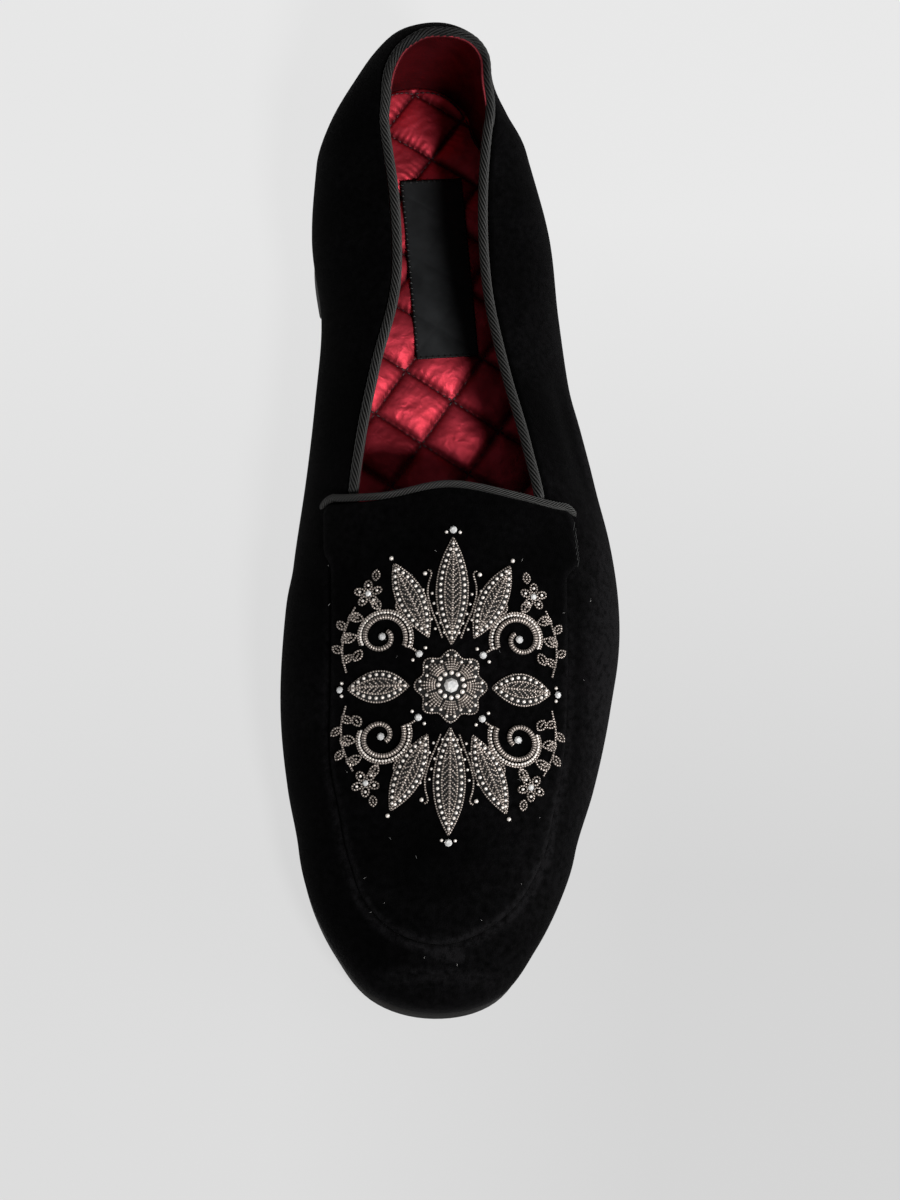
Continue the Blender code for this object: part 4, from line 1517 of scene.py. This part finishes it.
corner_coils.append((*curl(np.linspace(0, 1, 90)), 0.7, SCROLL_COIL, 0.6))
beside = np.linspace(0.0, 0.52, 60)
corner_coils.append((*curl(beside, 2.0), 0.3, FINE_COIL, 0.6))
for t in beside[1::2]:
    corner_beads.append((*curl(t, 2.0 - 0.66), 0.35, 0.90))
for t, length in CURL_LEAVES:
    add_leaflet(*curl(t, 2.4), SCROLL_START - SCROLL_SWEEP * t - 25, length, 1.15)
for a, b, degrees in VINE_LEAVES:
    add_leaflet(a, b, degrees, 3.0, 0.95)
for off in (-1.7, 1.7):
    corner_beads.append((KNOT + off, KNOT - off, 0.35, 1.05))
for rows, size in ((TENDRIL_ROWS, FINE_COIL), (VINE_ROWS, FINE_COIL), (STEM_ROWS, COIL), (ROOT_ROWS, COIL)):
    corner_coils.append((*rounded(rows), 0.3, size, 0.7))
for a, b in rounded(TENDRIL_ROWS).T[6:46:8]:
    for off in (-1.25, 1.25):
        corner_beads.append((a + off, b + 0.4 * off, 0.3, 0.85))
corner_beads.append((7.6, 31.4, 0.5, 1.3))
loop = np.linspace(0, 2 * math.pi, 22)
for petal in range(5):
    turn = math.radians(90 + petal * 72)
    a, b = turned(PETAL[0] + PETAL[1] * np.cos(loop), PETAL[2] * np.sin(loop), turn)
    corner_coils.append((BLOSSOM[0] + a, BLOSSOM[1] + b, 0.35, FINE_COIL, 0.6))
    corner_beads.append((BLOSSOM[0] + 2.4 * math.cos(turn), BLOSSOM[1] + 2.4 * math.sin(turn), 0.4, 0.95))
for name, i, j in CORNER_ROWS:
    coil_mesh = bmesh.new()
    for a, b, lift, radius, step in corner_coils:
        add_coil(coil_mesh, i * a, j * b, lift, radius, step)
    beads += [(i * a, j * b, lift, size) for a, b, lift, size in corner_beads]
    stones += [(i * a, j * b, lift, size) for a, b, lift, size in corner_stones]
    scroll_coils = add_piece("scroll_coils_" + name, coil_mesh, gunmetal, weld=0.000001)
    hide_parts("emblem_scroll_" + name)

# Emblem beads and stones: round silvered glass beads strung along the ribs and scrolls, and
# small cut stones at the middles and tips, each sewn through the velvet.

for b in (-43.6, 43.6):
    stones.append((0.0, b, 0.8, 2.3))
    beads += [(-1.9, b * 0.985, 0.35, 1.0), (1.9, b * 0.985, 0.35, 1.0)]
for a in (-30.0, 30.0):
    stones.append((a, 0.0, 0.8, 2.1))
    beads += [(a * 0.985, -1.8, 0.35, 1.0), (a * 0.985, 1.8, 0.35, 1.0)]
for degrees in (65, 115, -65, -115):
    turn = math.radians(degrees)
    beads.append((39.6 * math.cos(turn), 39.6 * math.sin(turn), 0.45, 1.3))


def sewn_places(rows, flatten):
    """Places of beads or stones, standing square to the velvet."""
    a, b, lift, size = np.array(rows).T
    rise = normal(*emblem_plan(a, b))
    half = size[:, None] / 2000
    axes = axes_of(np.cross(rise, np.array([0.0, 1.0, 0.0])), rise, (half, half, half * flatten))
    return list(zip(emblem_point(a, b, lift), axes))


bead_finish = mottled_finish(
    "silvered_bead", (520.0, 2.0), (0.76, 0.69, 0.63), (0.99, 0.93, 0.87),
    {"Metallic": 0.3}, rough=(800.0, 2.0, 0.16, 0.30))
stone_finish = mottled_finish(
    "foiled_stone", (900.0, 1.0), (0.70, 0.70, 0.70), (0.98, 0.98, 0.96),
    {"Metallic": 0.3}, rough=(600.0, 1.0, 0.14, 0.30))
sewn_beads = scatter("sewn_beads", ball_seed(8, 5), sewn_places(beads, 0.9), bead_finish)
stone_seed = bmesh.new()
bmesh.ops.create_cone(stone_seed, cap_ends=True, segments=8, radius1=0.96, radius2=0.52, depth=0.7)
bmesh.ops.translate(stone_seed, verts=stone_seed.verts[:], vec=(0.0, 0.0, 0.15))
cut_stones = scatter("cut_stones", stone_seed, sewn_places(stones, 0.8), stone_finish, flat=True)

# Lint: a few short pale fibres caught in the velvet's nap, over the apron and the vamp. They lie
# loose on the pile.

LINT_COUNT = 46
LINT_LIFT = 0.00004
LINT_ACROSS = (-0.040, 0.046)
LINT_STATIONS = (0.160, 0.285)
LINT_WIDTHS = (0.00003, 0.00006)
LINT_LENGTHS = (0.0002, 0.0007)
LINT_SHARE = 0.80
LINT_FIRST = 0.165
lint_dice = np.random.default_rng(7)
lint_places = []
while len(lint_places) < LINT_COUNT:
    x = lint_dice.uniform(*LINT_ACROSS)
    s = lint_dice.uniform(*LINT_STATIONS)
    width = lint_dice.uniform(*LINT_WIDTHS)
    length = lint_dice.uniform(*LINT_LENGTHS)
    turn = lint_dice.uniform(0, math.pi)
    q, side, r = locate(x, s)
    if r > LINT_SHARE * half_width(q, side) or s < LINT_FIRST:
        continue
    lift = LINT_LIFT + (LIFT + APRON if r < seam_width(q, side) else 0.0)
    rise = normal(x, s)
    run = np.cross(rise, np.array([math.cos(turn), math.sin(turn), 0.0]))
    lint_places.append((laid(x, s, lift), axes_of(run, rise, (length, width, width))))
lint_finish = mottled_finish(
    "pale_lint", (300.0, 1.0), (0.10, 0.10, 0.10), (0.45, 0.44, 0.42), {"Roughness": 0.9})
lint = scatter("lint", ball_seed(), lint_places, lint_finish)
